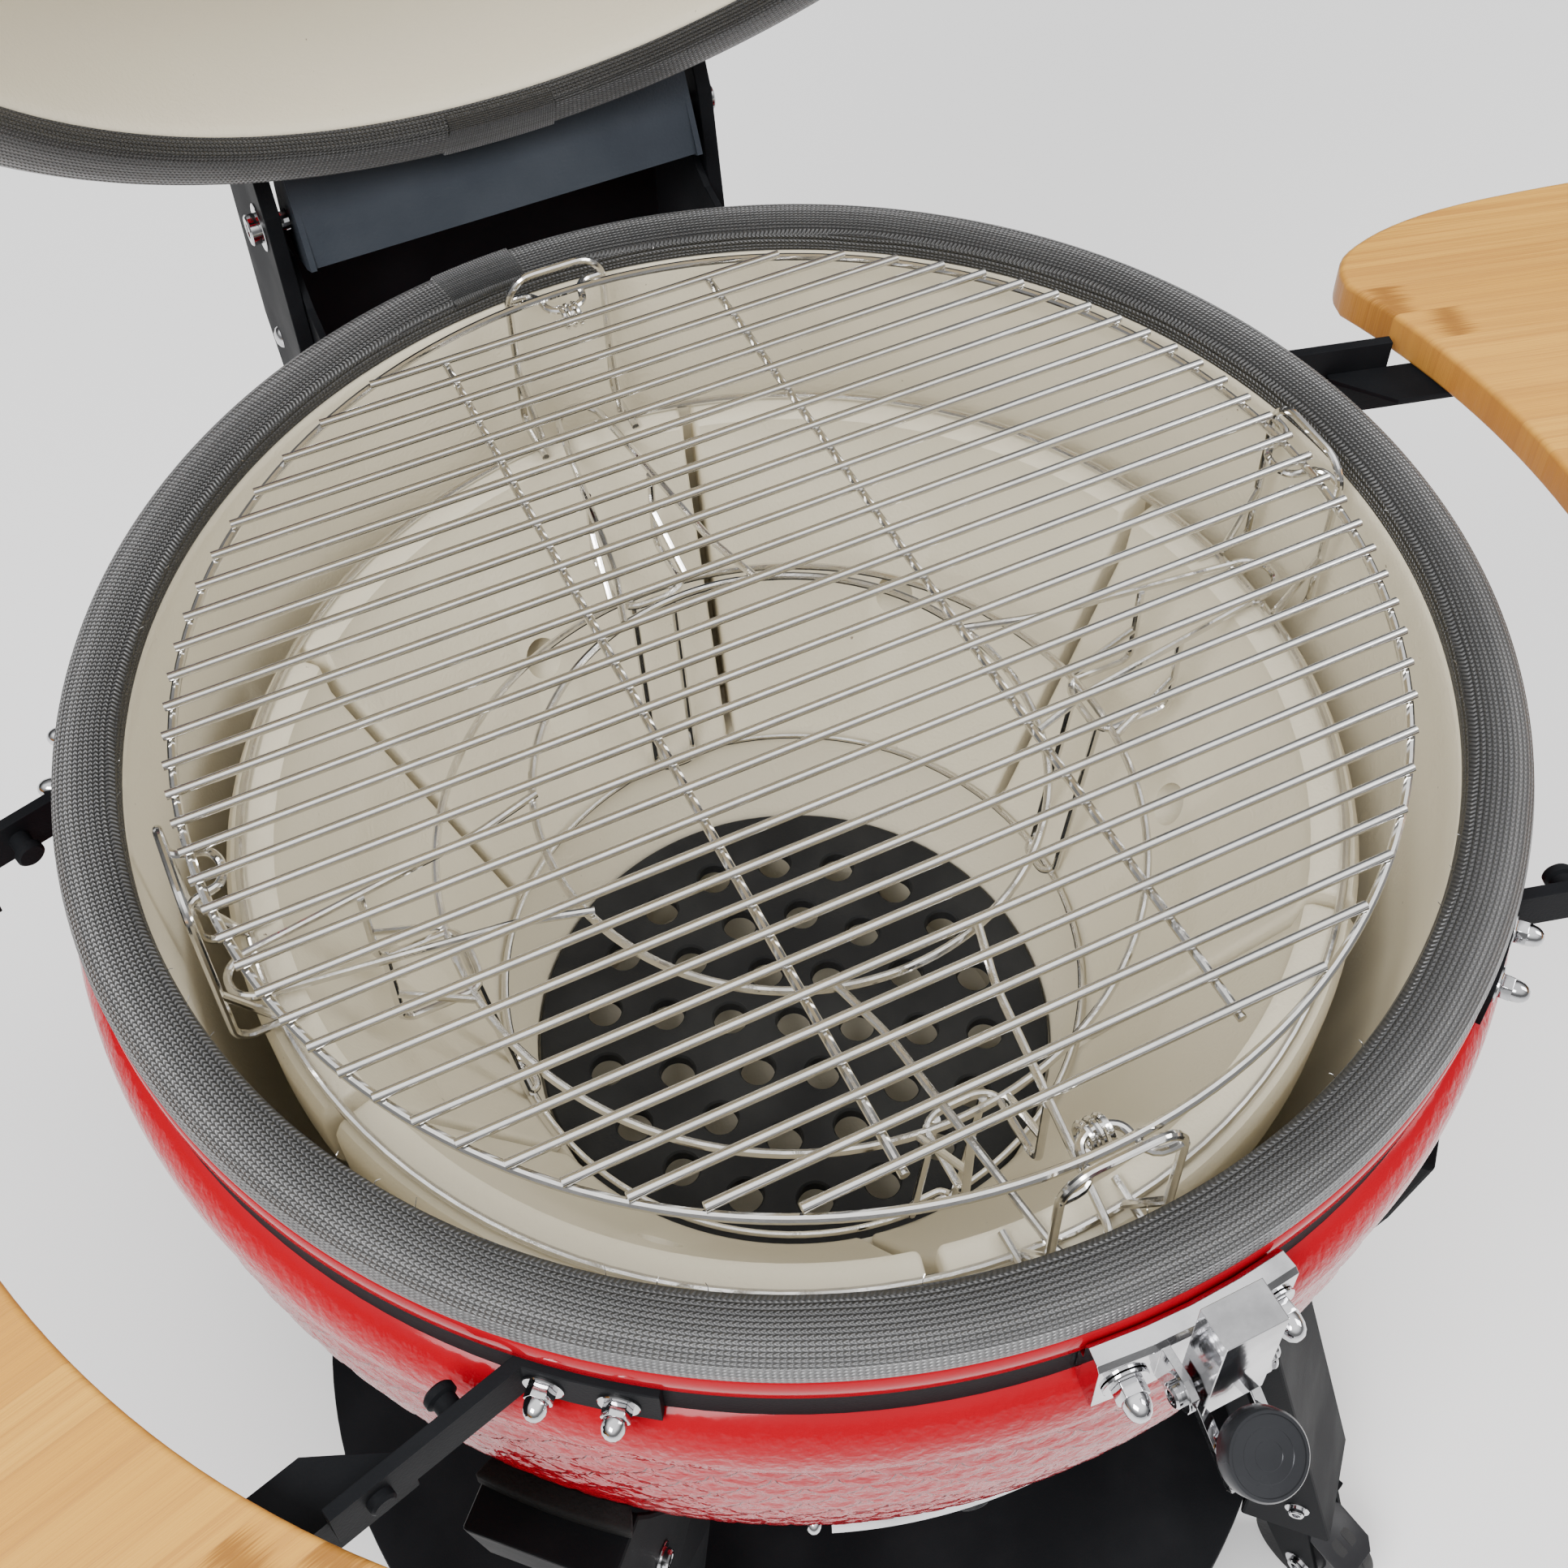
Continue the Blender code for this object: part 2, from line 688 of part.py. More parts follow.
def lid_bracket_shape():
    low = LID_BAND_Z[0] + 1.5
    plate = lathe(rectangle(BRACKET_RADIUS, BRACKET_RADIUS + 3.5, low, 50.3), 6, 159.7, 200.3)
    gusset = [
        (284.5, 50), (284.5, 34), (300, 29), (317, 23), (343, -13), (354, -6), (368, 10), (368, 34),
        (352, 42), (320, 50),
    ]
    gussets = [side_prism(gusset, *span) for span in ((-106, -103), (103, 106))]
    web = side_prism([(315.5, 24), (343.5, -11.5), (346, -9.5), (318, 26)], -105, 105)
    bridge = side_prism([(303, 33.5), (317, 23.2), (318.5, 25.5), (304.5, 36)], -60, 60)
    bore = aimed(cylinder(5.4, -140, 140, 16), (0, HINGE_Y, HINGE_Z), (1, 0, 0))
    return cut(united(plate, *gussets, web, bridge), bore)


def handle_bar_shape():
    return aimed(cylinder(15, -110, 110, 20), (0, -352, 98), (1, 0, 0))


def handle_post_shape(side):
    post = lathe([(0, 0), (14, 0), (14, 4), (8, 7), (8, 36.4), (0, 36.4)], 16)
    return aimed(post, (side * 75, -300.3, 98), (0, -1, 0))


def keeper_shape():
    outline = [(BRACKET_RADIUS, 34), (318, 34), (318, 38), (306, 49.5), (BRACKET_RADIUS, 49.5)]
    return lathe(outline, 2, -4.0, 4.0)


GAUGE_AXIS = Vector((0, -0.876, 0.482))


def gauge_centre():
    return Vector((0, -radius_at(LID_OUTER, GAUGE_Z), GAUGE_Z)) + GAUGE_AXIS * 0.6


def gauge_case_shape():
    cup = lathe([(0, 0), (30, 0), (30, 12), (28, 14), (26, 14), (26, 5), (0, 5)], 24)
    return aimed(cup, gauge_centre(), GAUGE_AXIS)


def needle_shape():
    outline = [(-1.2, -8), (1.2, -8), (2.4, -2), (2.4, 2), (0.7, 21), (-0.7, 21), (-2.4, 2), (-2.4, -2)]
    return aimed(prism(outline, 6.5, 8.0), gauge_centre(), GAUGE_AXIS)


def vent_base_shape():
    return lathe([(48, 300.3), (84, 300.3), (84, 304), (78, 312), (48, 312)], 32)


def vent_cap_shape():
    outline = [
        (0, 341), (56, 339), (75, 328), (75, VENT_Z), (79, VENT_Z), (79, 331), (60, 343), (0, 345),
    ]
    return lathe(outline, 32)


# Assembly


def build_fixed(base):
    add_node("bowl", bowl_shape(), "red_glaze", base)
    add_node("bowl_gasket", ring(*BODY_GASKET), "gasket_mesh", base)
    add_node("bowl_band", ring(GROOVE_RADIUS + GAP, BAND_RADIUS, *BODY_BAND_Z), "black_steel", base)
    for index in range(FIREBOX_PARTS):
        add_node(f"firebox_segment_{index + 1}", firebox_segment(index), "cream_ceramic", base)
    add_node("firebox_base", firebox_base_shape(), "cream_ceramic", base)
    add_node("draft_frame", draft_frame_shape(), "black_steel", base)
    rail = [(256, -284), (261, -284), (264, -282), (264, -278), (261, -276), (256, -276)]
    add_node("draft_rail", lathe(rail, 5, -22.5, 22.5), "chrome", base)
    add_node("latch_bracket", latch_bracket_shape(), "chrome", base)
    add_node("hinge_bracket", hinge_bracket_shape(), "black_steel", base)
    add_node("hinge_cheek_left", hinge_cheek_shape(-1), "black_steel", base)
    add_node("hinge_cheek_right", hinge_cheek_shape(1), "black_steel", base)
    add_node("hinge_pin", hinge_pin_shape(), "chrome", base)


def build_stand(base):
    for corner, azimuth in LEG_AZIMUTHS.items():
        add_node(f"leg_{corner}", leg_shape(azimuth), "black_steel", base)
    add_node("lower_shelf", lower_shelf_shape(), "black_steel", base)
    for corner in LEG_AZIMUTHS:
        swivel = add_empty(f"swivel_{corner}", caster_centre(corner), base)
        spin = add_empty(f"spin_{corner}", wheel_centre(corner), swivel)
        add_node(f"caster_fork_{corner}", caster_fork_shape(corner), "black_steel", swivel)
        add_node(f"caster_wheel_{corner}", wheel_shape(corner), "wheel_rubber", spin)


def build_inside(base):
    coals = add_empty("charcoal_grate_seat", (0, 0, COAL_GRATE_Z[0]), base)
    add_node("charcoal_grate", coal_grate_shape(), "cast_iron", coals)
    rack = add_empty("rack_seat", (0, 0, RACK_RING_Z), base)
    add_node("rack", rack_shape(), "chrome", rack)
    grate = add_empty("cooking_grate_seat", (0, 0, GRATE_Z[0]), rack)
    add_node("cooking_grate", cooking_grate_shape(), "chrome", grate)


def build_draft_and_latch(base):
    slide = add_empty("draft_slide_axis", (0, 0, sum(DRAFT_Z) / 2), base)
    add_node("draft_door", draft_door_shape(), "black_steel", slide)
    add_node("draft_knob", draft_knob_shape(), "black_plastic", slide)
    latch = add_empty("latch_axis", (0, *LATCH_PIVOT), base)
    add_node("latch_lever", latch_lever_shape(), "chrome", latch)
    add_node("latch_knob", latch_knob_shape(), "black_plastic", latch)


def build_shelves(base):
    for word, side in (("left", -1), ("right", 1)):
        pivot = shelf_matrix(side) @ Vector((SHELF_PIVOT[0], 0, SHELF_PIVOT[1]))
        fold = add_empty(f"{word}_shelf_axis", pivot, base)
        add_node(f"{word}_shelf_board", shelf_board_shape(side), "bamboo", fold)
        for name, end in (("front", -1), ("back", 1)):
            add_node(f"{word}_shelf_rail_{name}", shelf_rail_shape(side, end), "black_steel", fold)
            add_node(f"{word}_shelf_arm_{name}", shelf_arm_shape(side, end), "black_steel", base)


def build_lid(base):
    lid = add_empty("lid_axis", (0, HINGE_Y, HINGE_Z), base, -LID_OPEN_DEG)
    add_node("lid_dome", lid_dome_shape(), "red_glaze", lid)
    add_node("lid_gasket", ring(*LID_GASKET), "gasket_mesh", lid)
    add_node("lid_band", ring(GROOVE_RADIUS + GAP, BAND_RADIUS, *LID_BAND_Z), "black_steel", lid)
    add_node("lid_hinge_bracket", lid_bracket_shape(), "grey_steel", lid)
    add_node("lid_handle_bar", handle_bar_shape(), "bamboo", lid)
    add_node("lid_handle_post_left", handle_post_shape(-1), "black_steel", lid)
    add_node("lid_handle_post_right", handle_post_shape(1), "black_steel", lid)
    add_node("latch_keeper", keeper_shape(), "chrome", lid)
    add_node("thermometer_case", gauge_case_shape(), "chrome", lid)
    gauge = add_empty("needle_axis", gauge_centre(), lid)
    add_node("thermometer_needle", needle_shape(), "black_plastic", gauge)
    add_node("vent_base", vent_base_shape(), "cast_iron", lid)
    vent = add_empty("vent_axis", (0, 0, VENT_Z), lid)
    add_node("vent_cap", vent_cap_shape(), "cast_iron", vent)


def main():
    clear_scene()
    base = add_empty("grill", (0, 0, 0))
    build_fixed(base)
    build_stand(base)
    build_inside(base)
    build_draft_and_latch(base)
    build_shelves(base)
    build_lid(base)


main()
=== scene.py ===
"""Looks of the ceramic charcoal grill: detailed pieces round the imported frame, materials, light and camera.

Pieces are drawn in millimetres in the grill's own frame: the bowl's axis is x = y = 0, the middle of
the bowl's gasket is z = 0, and the front is -Y. Pieces on the lid are drawn closed, then opened.
"""

import math

import bmesh
import bpy
from mathutils import Matrix, Vector


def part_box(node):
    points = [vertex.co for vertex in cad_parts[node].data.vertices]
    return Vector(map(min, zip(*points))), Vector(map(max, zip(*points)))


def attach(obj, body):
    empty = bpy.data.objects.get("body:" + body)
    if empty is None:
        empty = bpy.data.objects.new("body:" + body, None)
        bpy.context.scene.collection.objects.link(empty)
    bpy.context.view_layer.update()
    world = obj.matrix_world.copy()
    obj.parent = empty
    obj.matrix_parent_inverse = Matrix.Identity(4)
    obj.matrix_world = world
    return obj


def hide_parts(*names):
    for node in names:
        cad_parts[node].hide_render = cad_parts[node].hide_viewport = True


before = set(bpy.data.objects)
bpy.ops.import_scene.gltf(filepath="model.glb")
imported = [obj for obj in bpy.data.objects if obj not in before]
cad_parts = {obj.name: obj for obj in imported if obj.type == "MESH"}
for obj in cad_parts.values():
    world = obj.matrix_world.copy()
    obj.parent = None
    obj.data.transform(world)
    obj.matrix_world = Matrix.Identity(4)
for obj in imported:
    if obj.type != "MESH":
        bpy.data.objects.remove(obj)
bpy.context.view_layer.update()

MM = 0.001


def middle(node):
    low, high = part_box(node)
    return (Vector(low) + Vector(high)) / 2


HINGE = middle("hinge_pin")
LID_OPEN_DEG = 62.0
BASE = Matrix.Translation(middle("bowl_gasket"))
OPENED = Matrix.Rotation(math.radians(-LID_OPEN_DEG), 4, "X")
LID = Matrix.Translation(HINGE) @ OPENED @ Matrix.Translation(-HINGE) @ BASE
HINGE_Y, HINGE_Z = 352.0, 22.0

STEPS = 160
SHELL_STEPS = 516
GASKET_STEPS = 240
LEGS = (-45.0, 45.0, -135.0, 135.0)
SHELF_AZIMUTH = 75.0
BAND_OUT = 305.4
LATCH_PIVOT = (-327.0, -18.0)
GAUGE_AXIS = Vector((0, -0.876, 0.482))
BOWL_SIDE = [
    (310, -70), (306.5, -73), (305, -100), (301, -135), (293.5, -170), (283, -205),
    (270, -240), (252.5, -280), (228, -320), (190, -355), (150, -378), (120, -388),
]
DOME_SIDE = [
    (310, 81), (306.5, 84), (304, 120), (292, 165), (270, 205), (236, 240), (190, 266), (135, 283), (72, 292),
]

# Outlines and solids


def polar(radius, azimuth, z=0.0):
    angle = math.radians(azimuth)
    return Vector((radius * math.sin(angle), -radius * math.cos(angle), z))


def turn(azimuth):
    """Matrix that carries (outward, sideways, z) coordinates to this azimuth."""
    outward = polar(1.0, azimuth)
    return Matrix(((outward.x, -outward.y, 0, 0), (outward.y, outward.x, 0, 0), (0, 0, 1, 0), (0, 0, 0, 1)))


def both_ends(half):
    """Outline of (radius, z) points whose second half repeats the first above z = 0."""
    return half + [(radius, -z) for radius, z in reversed(half)]


def radius_at(outline, z):
    """Radius of an outline of (radius, height) points at a height."""
    for (r1, z1), (r2, z2) in zip(outline, outline[1:]):
        if min(z1, z2) <= z <= max(z1, z2) and z1 != z2:
            return r1 + (r2 - r1) * (z - z1) / (z2 - z1)
    return outline[-1][0]


def flowing(points, parts=4):
    """Smooth line through points."""
    line = [Vector(point) for point in points]
    line = [2 * line[0] - line[1]] + line + [2 * line[-1] - line[-2]]
    path = []
    for a, b, c, d in zip(line, line[1:], line[2:], line[3:]):
        for k in range(parts):
            t = k / parts
            square = (2 * a - 5 * b + 4 * c - d) * t**2
            cube = (3 * b - a - 3 * c + d) * t**3
            path.append((2 * b + (c - a) * t + square + cube) / 2)
    return path + [line[-2]]


def rounded(points, radius=6.0, closed=False):
    """Path whose corners are turned into short arcs."""
    points = [Vector(point) for point in points]
    ring = [points[-1], *points, points[0]] if closed else points
    path = [] if closed else [points[0]]
    for before, corner, after in zip(ring, ring[1:], ring[2:]):
        back = before - corner
        ahead = after - corner
        reach = min(radius, back.length / 2.01, ahead.length / 2.01)
        start = corner + back.normalized() * reach
        end = corner + ahead.normalized() * reach
        for t in (0, 0.25, 0.5, 0.75, 1):
            path.append(start * (1 - t) ** 2 + corner * 2 * t * (1 - t) + end * t * t)
    return path if closed else path + [points[-1]]


def merged(shapes):
    whole = bmesh.new()
    for shape in shapes:
        mesh = bpy.data.meshes.new("part")
        shape.to_mesh(mesh)
        shape.free()
        whole.from_mesh(mesh)
        bpy.data.meshes.remove(mesh)
    return whole


def lathe(outline, steps=STEPS, first=0.0, last=360.0):
    """Outline of (radius, z) points spun about the axis. It closes on itself unless it starts there."""
    whole = last - first >= 360.0
    bm = bmesh.new()
    rings = []
    for k in range(steps if whole else steps + 1):
        azimuth = first + (last - first) * k / steps
        rings.append([bm.verts.new(polar(radius, azimuth, z)) for radius, z in outline])
    if whole:
        rings.append(rings[0])
    on_axis = outline[0][0] == 0
    size = len(outline)
    for one, two in zip(rings, rings[1:]):
        for i in range(size - 1 if on_axis else size):
            j = (i + 1) % size
            bm.faces.new((one[i], one[j], two[j], two[i]))
    if not whole:
        bm.faces.new(rings[0])
        bm.faces.new(rings[-1])
    bmesh.ops.remove_doubles(bm, verts=bm.verts, dist=0.0005)
    bmesh.ops.recalc_face_normals(bm, faces=bm.faces)
    return bm


def prism(outline, low, high):
    """Outline of (x, y) points extruded from z = low to z = high."""
    bm = bmesh.new()
    floor = [bm.verts.new((x, y, low)) for x, y in outline]
    top = [bm.verts.new((x, y, high)) for x, y in outline]
    bm.faces.new(floor)
    bm.faces.new(top)
    for i in range(len(outline)):
        j = (i + 1) % len(outline)
        bm.faces.new((floor[i], floor[j], top[j], top[i]))
    bmesh.ops.recalc_face_normals(bm, faces=bm.faces)
    return bm


def box(x, y, z):
    return prism([(x[0], y[0]), (x[1], y[0]), (x[1], y[1]), (x[0], y[1])], *z)


def eased(bm, width, segments=3, angle_deg=40.0):
    """Rounds the solid's sharp edges."""
    bmesh.ops.recalc_face_normals(bm, faces=bm.faces)
    limit = math.radians(angle_deg)
    sharp = [edge for edge in bm.edges if edge.is_manifold and edge.calc_face_angle() > limit]
    bmesh.ops.bevel(
        bm, geom=sharp, offset=width, segments=segments, profile=0.5, affect="EDGES", clamp_overlap=True
    )
    return bm


def moved(bm, *matrices):
    for matrix in matrices:
        bm.transform(matrix)
    return bm


def aimed(bm, centre, axis):
    """Moves a solid made about +Z at the origin to a centre, with its axis along a direction."""
    swing = Vector((0, 0, 1)).rotation_difference(Vector(axis)).to_matrix().to_4x4()
    return moved(bm, Matrix.Translation(centre) @ swing)


def tube(path, radius=2.0, closed=False, sides=10):
    """Round wire through a path."""
    path = [Vector(point) for point in path]
    last = len(path) - 1
    across = None
    angles = [2 * math.pi * i / sides for i in range(sides)]
    bm = bmesh.new()
    rings = []
    for k, point in enumerate(path):
        before = path[k - 1] if closed or k else point
        after = path[(k + 1) % len(path)] if closed or k < last else point
        along = (after - before).normalized()
        across = along.orthogonal() if across is None else across - along * across.dot(along)
        across.normalize()
        other = along.cross(across)
        spokes = [across * math.cos(a) + other * math.sin(a) for a in angles]
        rings.append([bm.verts.new(point + spoke * radius) for spoke in spokes])
    if closed:
        rings.append(rings[0])
    else:
        bm.faces.new(rings[0])
        bm.faces.new(rings[-1])
    for one, two in zip(rings, rings[1:]):
        for i in range(sides):
            j = (i + 1) % sides
            bm.faces.new((one[i], one[j], two[j], two[i]))
    return bm


def hoop(radius, z, thickness=2.0, steps=120):
    return tube([polar(radius, 360.0 * k / steps, z) for k in range(steps)], thickness, closed=True)


def coil(centre, axis, radius, turns, pitch, thickness=1.4):
    """Open wire spring about an axis."""
    per_turn = 16
    points = []
    for k in range(turns * per_turn + 1):
        angle = 2 * math.pi * k / per_turn
        points.append((radius * math.cos(angle), radius * math.sin(angle), pitch * k / per_turn))
    return aimed(tube(points, thickness, sides=8), centre, axis)


def cut(solid, cutters):
    """Solid with each of the cutters taken away."""
    collection = bpy.data.collections.new("cutters")
    bpy.context.scene.collection.children.link(collection)
    holders = []
    for shape, home in [(solid, bpy.context.scene.collection), *((c, collection) for c in cutters)]:
        mesh = bpy.data.meshes.new("operand")
        shape.to_mesh(mesh)
        shape.free()
        holder = bpy.data.objects.new("operand", mesh)
        home.objects.link(holder)
        holders.append(holder)
    modifier = holders[0].modifiers.new("cut", "BOOLEAN")
    modifier.operand_type = "COLLECTION"
    modifier.solver = "MANIFOLD"
    modifier.collection = collection
    graph = bpy.context.evaluated_depsgraph_get()
    mesh = bpy.data.meshes.new_from_object(holders[0].evaluated_get(graph))
    result = bmesh.new()
    result.from_mesh(mesh)
    for holder in holders:
        bpy.data.objects.remove(holder)
    bpy.data.collections.remove(collection)
    return result


# Fasteners


def acorn(centre, axis, size=1.0):
    """Washer, hexagon and dome of an acorn nut."""
    washer = lathe([(0, 1.2), (7.2, 1.2), (7.6, 0.8), (7.6, 0), (0, 0)], 32)
    corners = [(5.4 * math.cos(k * math.pi / 3), 5.4 * math.sin(k * math.pi / 3)) for k in range(6)]
    hexagon = eased(prism(corners, 1.2, 6.0), 0.35, 2)
    dome = [(4.4, 5.8), (4.5, 7.2), (4.1, 9.4), (3.2, 11.2), (1.8, 12.4), (0, 12.8)]
    bm = merged([washer, hexagon, lathe([(0, 5.8), *dome], 24)])
    return aimed(moved(bm, Matrix.Scale(size, 4)), centre, axis)


def socket_bolt(centre, axis, radius=5.0, height=4.5):
    """Washer and round head with a hollow middle."""
    hollow = radius * 0.52
    head = [
        (0, height - 2.6), (hollow, height - 2.6), (hollow, height - 0.3), (hollow + 0.3, height),
        (radius - 0.7, height), (radius, height - 0.8), (radius, 0.8), (0, 0.8),
    ]
    washer = [(0, 1.0), (radius * 1.5, 1.0), (radius * 1.55, 0.7), (radius * 1.55, 0), (0, 0)]
    return aimed(merged([lathe(head, 24), lathe(washer, 28)]), centre, axis)


# Node materials


def start_look(name, colour, roughness, metallic=0.0):
    """(material, node tree, shader) of a new material."""
    made = bpy.data.materials.new(name)
    made.use_nodes = True
    shader = made.node_tree.nodes["Principled BSDF"]
    shader.inputs["Base Color"].default_value = (*colour, 1.0)
    shader.inputs["Roughness"].default_value = roughness
    shader.inputs["Metallic"].default_value = metallic
    return made, made.node_tree, shader


def feed(tree, socket, value):
    if isinstance(value, bpy.types.NodeSocket):
        tree.links.new(value, socket)
    else:
        socket.default_value = value


def op(tree, operation, *values):
    """Output of a Math node on sockets or numbers."""
    node = tree.nodes.new("ShaderNodeMath")
    node.operation = operation
    for socket, value in zip(node.inputs, values):
        feed(tree, socket, value)
    return node.outputs[0]


PLACE = "grill_place"


def anywhere(tree):
    """The object's own coordinates in metres."""
    return tree.nodes.new("ShaderNodeTexCoord").outputs["Object"]


def where(tree, azimuth=None):
    """(vector, x, y, z) in the grill's frame with the lid closed, in metres.

    If an azimuth is given, x points out along it.
    """
    stored = tree.nodes.new("ShaderNodeAttribute")
    stored.attribute_name = PLACE
    vector = stored.outputs["Vector"]
    if azimuth is not None:
        mapping = tree.nodes.new("ShaderNodeMapping")
        mapping.inputs["Rotation"].default_value = (0, 0, math.radians(90.0 - azimuth))
        tree.links.new(vector, mapping.inputs["Vector"])
        vector = mapping.outputs[0]
    split = tree.nodes.new("ShaderNodeSeparateXYZ")
    tree.links.new(vector, split.inputs[0])
    return vector, *split.outputs


def joined(tree, *values):
    node = tree.nodes.new("ShaderNodeCombineXYZ")
    for socket, value in zip(node.inputs, values):
        feed(tree, socket, value)
    return node.outputs[0]


def noise(tree, vector, scale, detail=3.0):
    node = tree.nodes.new("ShaderNodeTexNoise")
    node.inputs["Scale"].default_value = scale
    node.inputs["Detail"].default_value = detail
    tree.links.new(vector, node.inputs["Vector"])
    return node.outputs["Fac"]


def random_of(tree, value):
    node = tree.nodes.new("ShaderNodeTexWhiteNoise")
    node.noise_dimensions = "1D"
    feed(tree, node.inputs["W"], value)
    return node.outputs["Value"]


def between(tree, value, low, high, first=0.0, last=1.0):
    """Value mapped from low..high to first..last, and held there."""
    node = tree.nodes.new("ShaderNodeMapRange")
    node.interpolation_type = "SMOOTHSTEP"
    for socket, given in zip(node.inputs, (value, low, high, first, last)):
        feed(tree, socket, given)
    return node.outputs[0]


def mixed(tree, factor, first, second):
    """Colour between two, each a socket or (r, g, b)."""
    node = tree.nodes.new("ShaderNodeMix")
    node.data_type = "RGBA"
    feed(tree, node.inputs[0], factor)
    for socket, value in ((node.inputs[6], first), (node.inputs[7], second)):
        feed(tree, socket, value if isinstance(value, bpy.types.NodeSocket) else (*value, 1.0))
    return node.outputs[2]


def relief(tree, shader, height, depth):
    """Bump whose height of 1 stands up by depth metres."""
    node = tree.nodes.new("ShaderNodeBump")
    node.inputs["Distance"].default_value = depth
    tree.links.new(height, node.inputs["Height"])
    tree.links.new(node.outputs[0], shader.inputs["Normal"])


def coated(name, colour, worn, roughness, grain=900.0, depth=0.00012, metallic=0.0, shine=0.14):
    """Painted or cast metal: fine grain, cloudy tone and uneven sheen."""
    made, tree, shader = start_look(name, colour, roughness, metallic)
    shader.inputs["Specular IOR Level"].default_value = shine
    vector = anywhere(tree)
    cloud = noise(tree, vector, 14.0, 5.0)
    fine = noise(tree, vector, grain, 2.0)
    tree.links.new(mixed(tree, between(tree, cloud, 0.35, 0.75), colour, worn), shader.inputs["Base Color"])
    uneven = between(tree, cloud, 0.3, 0.7, roughness - 0.06, roughness + 0.08)
    tree.links.new(uneven, shader.inputs["Roughness"])
    relief(tree, shader, fine, depth)
    return made


def polished(name, colour=(0.78, 0.78, 0.77), roughness=0.10, drawn=60.0, rub_and_reflection_fade=0.86):
    """Bright wire or plate with faint rub marks; where the fade is strong, as on the chrome, the coarse dark
    blotches are painted reflections.
    """
    made, tree, shader = start_look(name, colour, roughness, 1.0)
    vector = anywhere(tree)
    rub_and_reflection = noise(tree, vector, drawn, 6.0)
    rub_and_reflection_tone = tuple(rub_and_reflection_fade * value for value in colour)
    # faint rub marks on the wire; on the chrome the strong blotches are painted dark reflections
    tree.links.new(mixed(tree, between(tree, rub_and_reflection, 0.4, 0.75), colour, rub_and_reflection_tone), shader.inputs["Base Color"])
    uneven = between(tree, rub_and_reflection, 0.35, 0.7, roughness * 0.7, roughness * 1.8)
    tree.links.new(uneven, shader.inputs["Roughness"])
    relief(tree, shader, noise(tree, vector, 350.0, 2.0), 0.00004)
    return made


ROWS = "scale_rows"
SCALES_AROUND = 86
SCALE_ROW = 11.0
SCALE_STEP = 2.75
SCALE_HEIGHT = 3.0
GASKET_MID = 5.5


def scale_nodes(tree, x, y, rows):
    """Two sockets of overlapping scales: the step at each tip, then a painted shadow line along it.

    They follow the same scales that scale_relief() raises on the mesh.
    """
    around = op(tree, "MULTIPLY", op(tree, "ARCTAN2", x, y), SCALES_AROUND / (2 * math.pi))
    row = op(tree, "FLOOR", rows)
    down = op(tree, "SUBTRACT", rows, row)
    shift = op(tree, "MULTIPLY", op(tree, "FLOORED_MODULO", row, 2.0), 0.5)
    own = op(tree, "SUBTRACT", op(tree, "FRACT", op(tree, "SUBTRACT", around, shift)), 0.5)
    own_square = op(tree, "MULTIPLY", own, own)
    left = op(tree, "SUBTRACT", 1.0, op(tree, "MULTIPLY", own_square, 4.0))
    tip = op(tree, "SQRT", op(tree, "MAXIMUM", left, 0.0))
    past = op(tree, "SUBTRACT", tip, down)
    # painted shadow: a dark line just below each scale's tip
    tip_shadow = between(tree, op(tree, "ABSOLUTE", op(tree, "ADD", past, 0.04)), 0.0, 0.12, 1.0, 0.0)
    return between(tree, past, -0.03, 0.09), tip_shadow


def glaze():
    """Red glaze: lumpy like orange peel round the rim, with painted shadow lines between the scales beyond it.
    """
    red = (0.37, 0.0007, 0.010)
    made, tree, shader = start_look("red_glaze", red, 0.12)
    shader.inputs["IOR"].default_value = 1.33
    shader.inputs["Specular IOR Level"].default_value = 0.28
    vector, x, y, z = where(tree)
    stored = tree.nodes.new("ShaderNodeAttribute")
    stored.attribute_name = ROWS
    rows = stored.outputs["Fac"]
    side = between(tree, rows, 0.05, 0.3)
    edge, tip_shadow = scale_nodes(tree, x, y, rows)
    off_rim = op(tree, "ABSOLUTE", op(tree, "SUBTRACT", z, GASKET_MID * MM))
    flat = between(tree, off_rim, 0.046, 0.052)
    lumps = op(tree, "MULTIPLY", noise(tree, vector, 210.0, 2.0), 0.8)
    height = op(tree, "ADD", op(tree, "MULTIPLY", edge, side), op(tree, "MULTIPLY", lumps, flat))
    relief(tree, shader, height, 0.0011)
    tone = mixed(tree, noise(tree, vector, 9.0), red, (0.30, 0.0005, 0.008))
    # painted shadow: near-black lines under the scales' tips
    painted_shadow = op(tree, "MULTIPLY", op(tree, "MULTIPLY", tip_shadow, side), 0.75)
    tree.links.new(mixed(tree, painted_shadow, tone, (0.06, 0.0003, 0.001)), shader.inputs["Base Color"])
    return made


def clay(name, colour, speck, roughness=0.62):
    """Fire clay with cloudy tone, small dark specks and fine pits."""
    made, tree, shader = start_look(name, colour, roughness)
    vector = where(tree)[0]
    shade = tuple(0.90 * value for value in colour)
    tone = mixed(tree, noise(tree, vector, 7.0, 4.0), colour, shade)
    dots = between(tree, noise(tree, vector, 260.0, 2.0), 0.745, 0.80)
    few = between(tree, noise(tree, vector, 21.0, 1.0), 0.50, 0.62)
    tree.links.new(mixed(tree, op(tree, "MULTIPLY", dots, few), tone, speck), shader.inputs["Base Color"])
    grain = op(tree, "ADD", noise(tree, vector, 500.0, 3.0), noise(tree, vector, 18.0, 2.0))
    relief(tree, shader, grain, 0.0003)
    return made


ROW_PITCH = 0.00205
STITCHES = 820


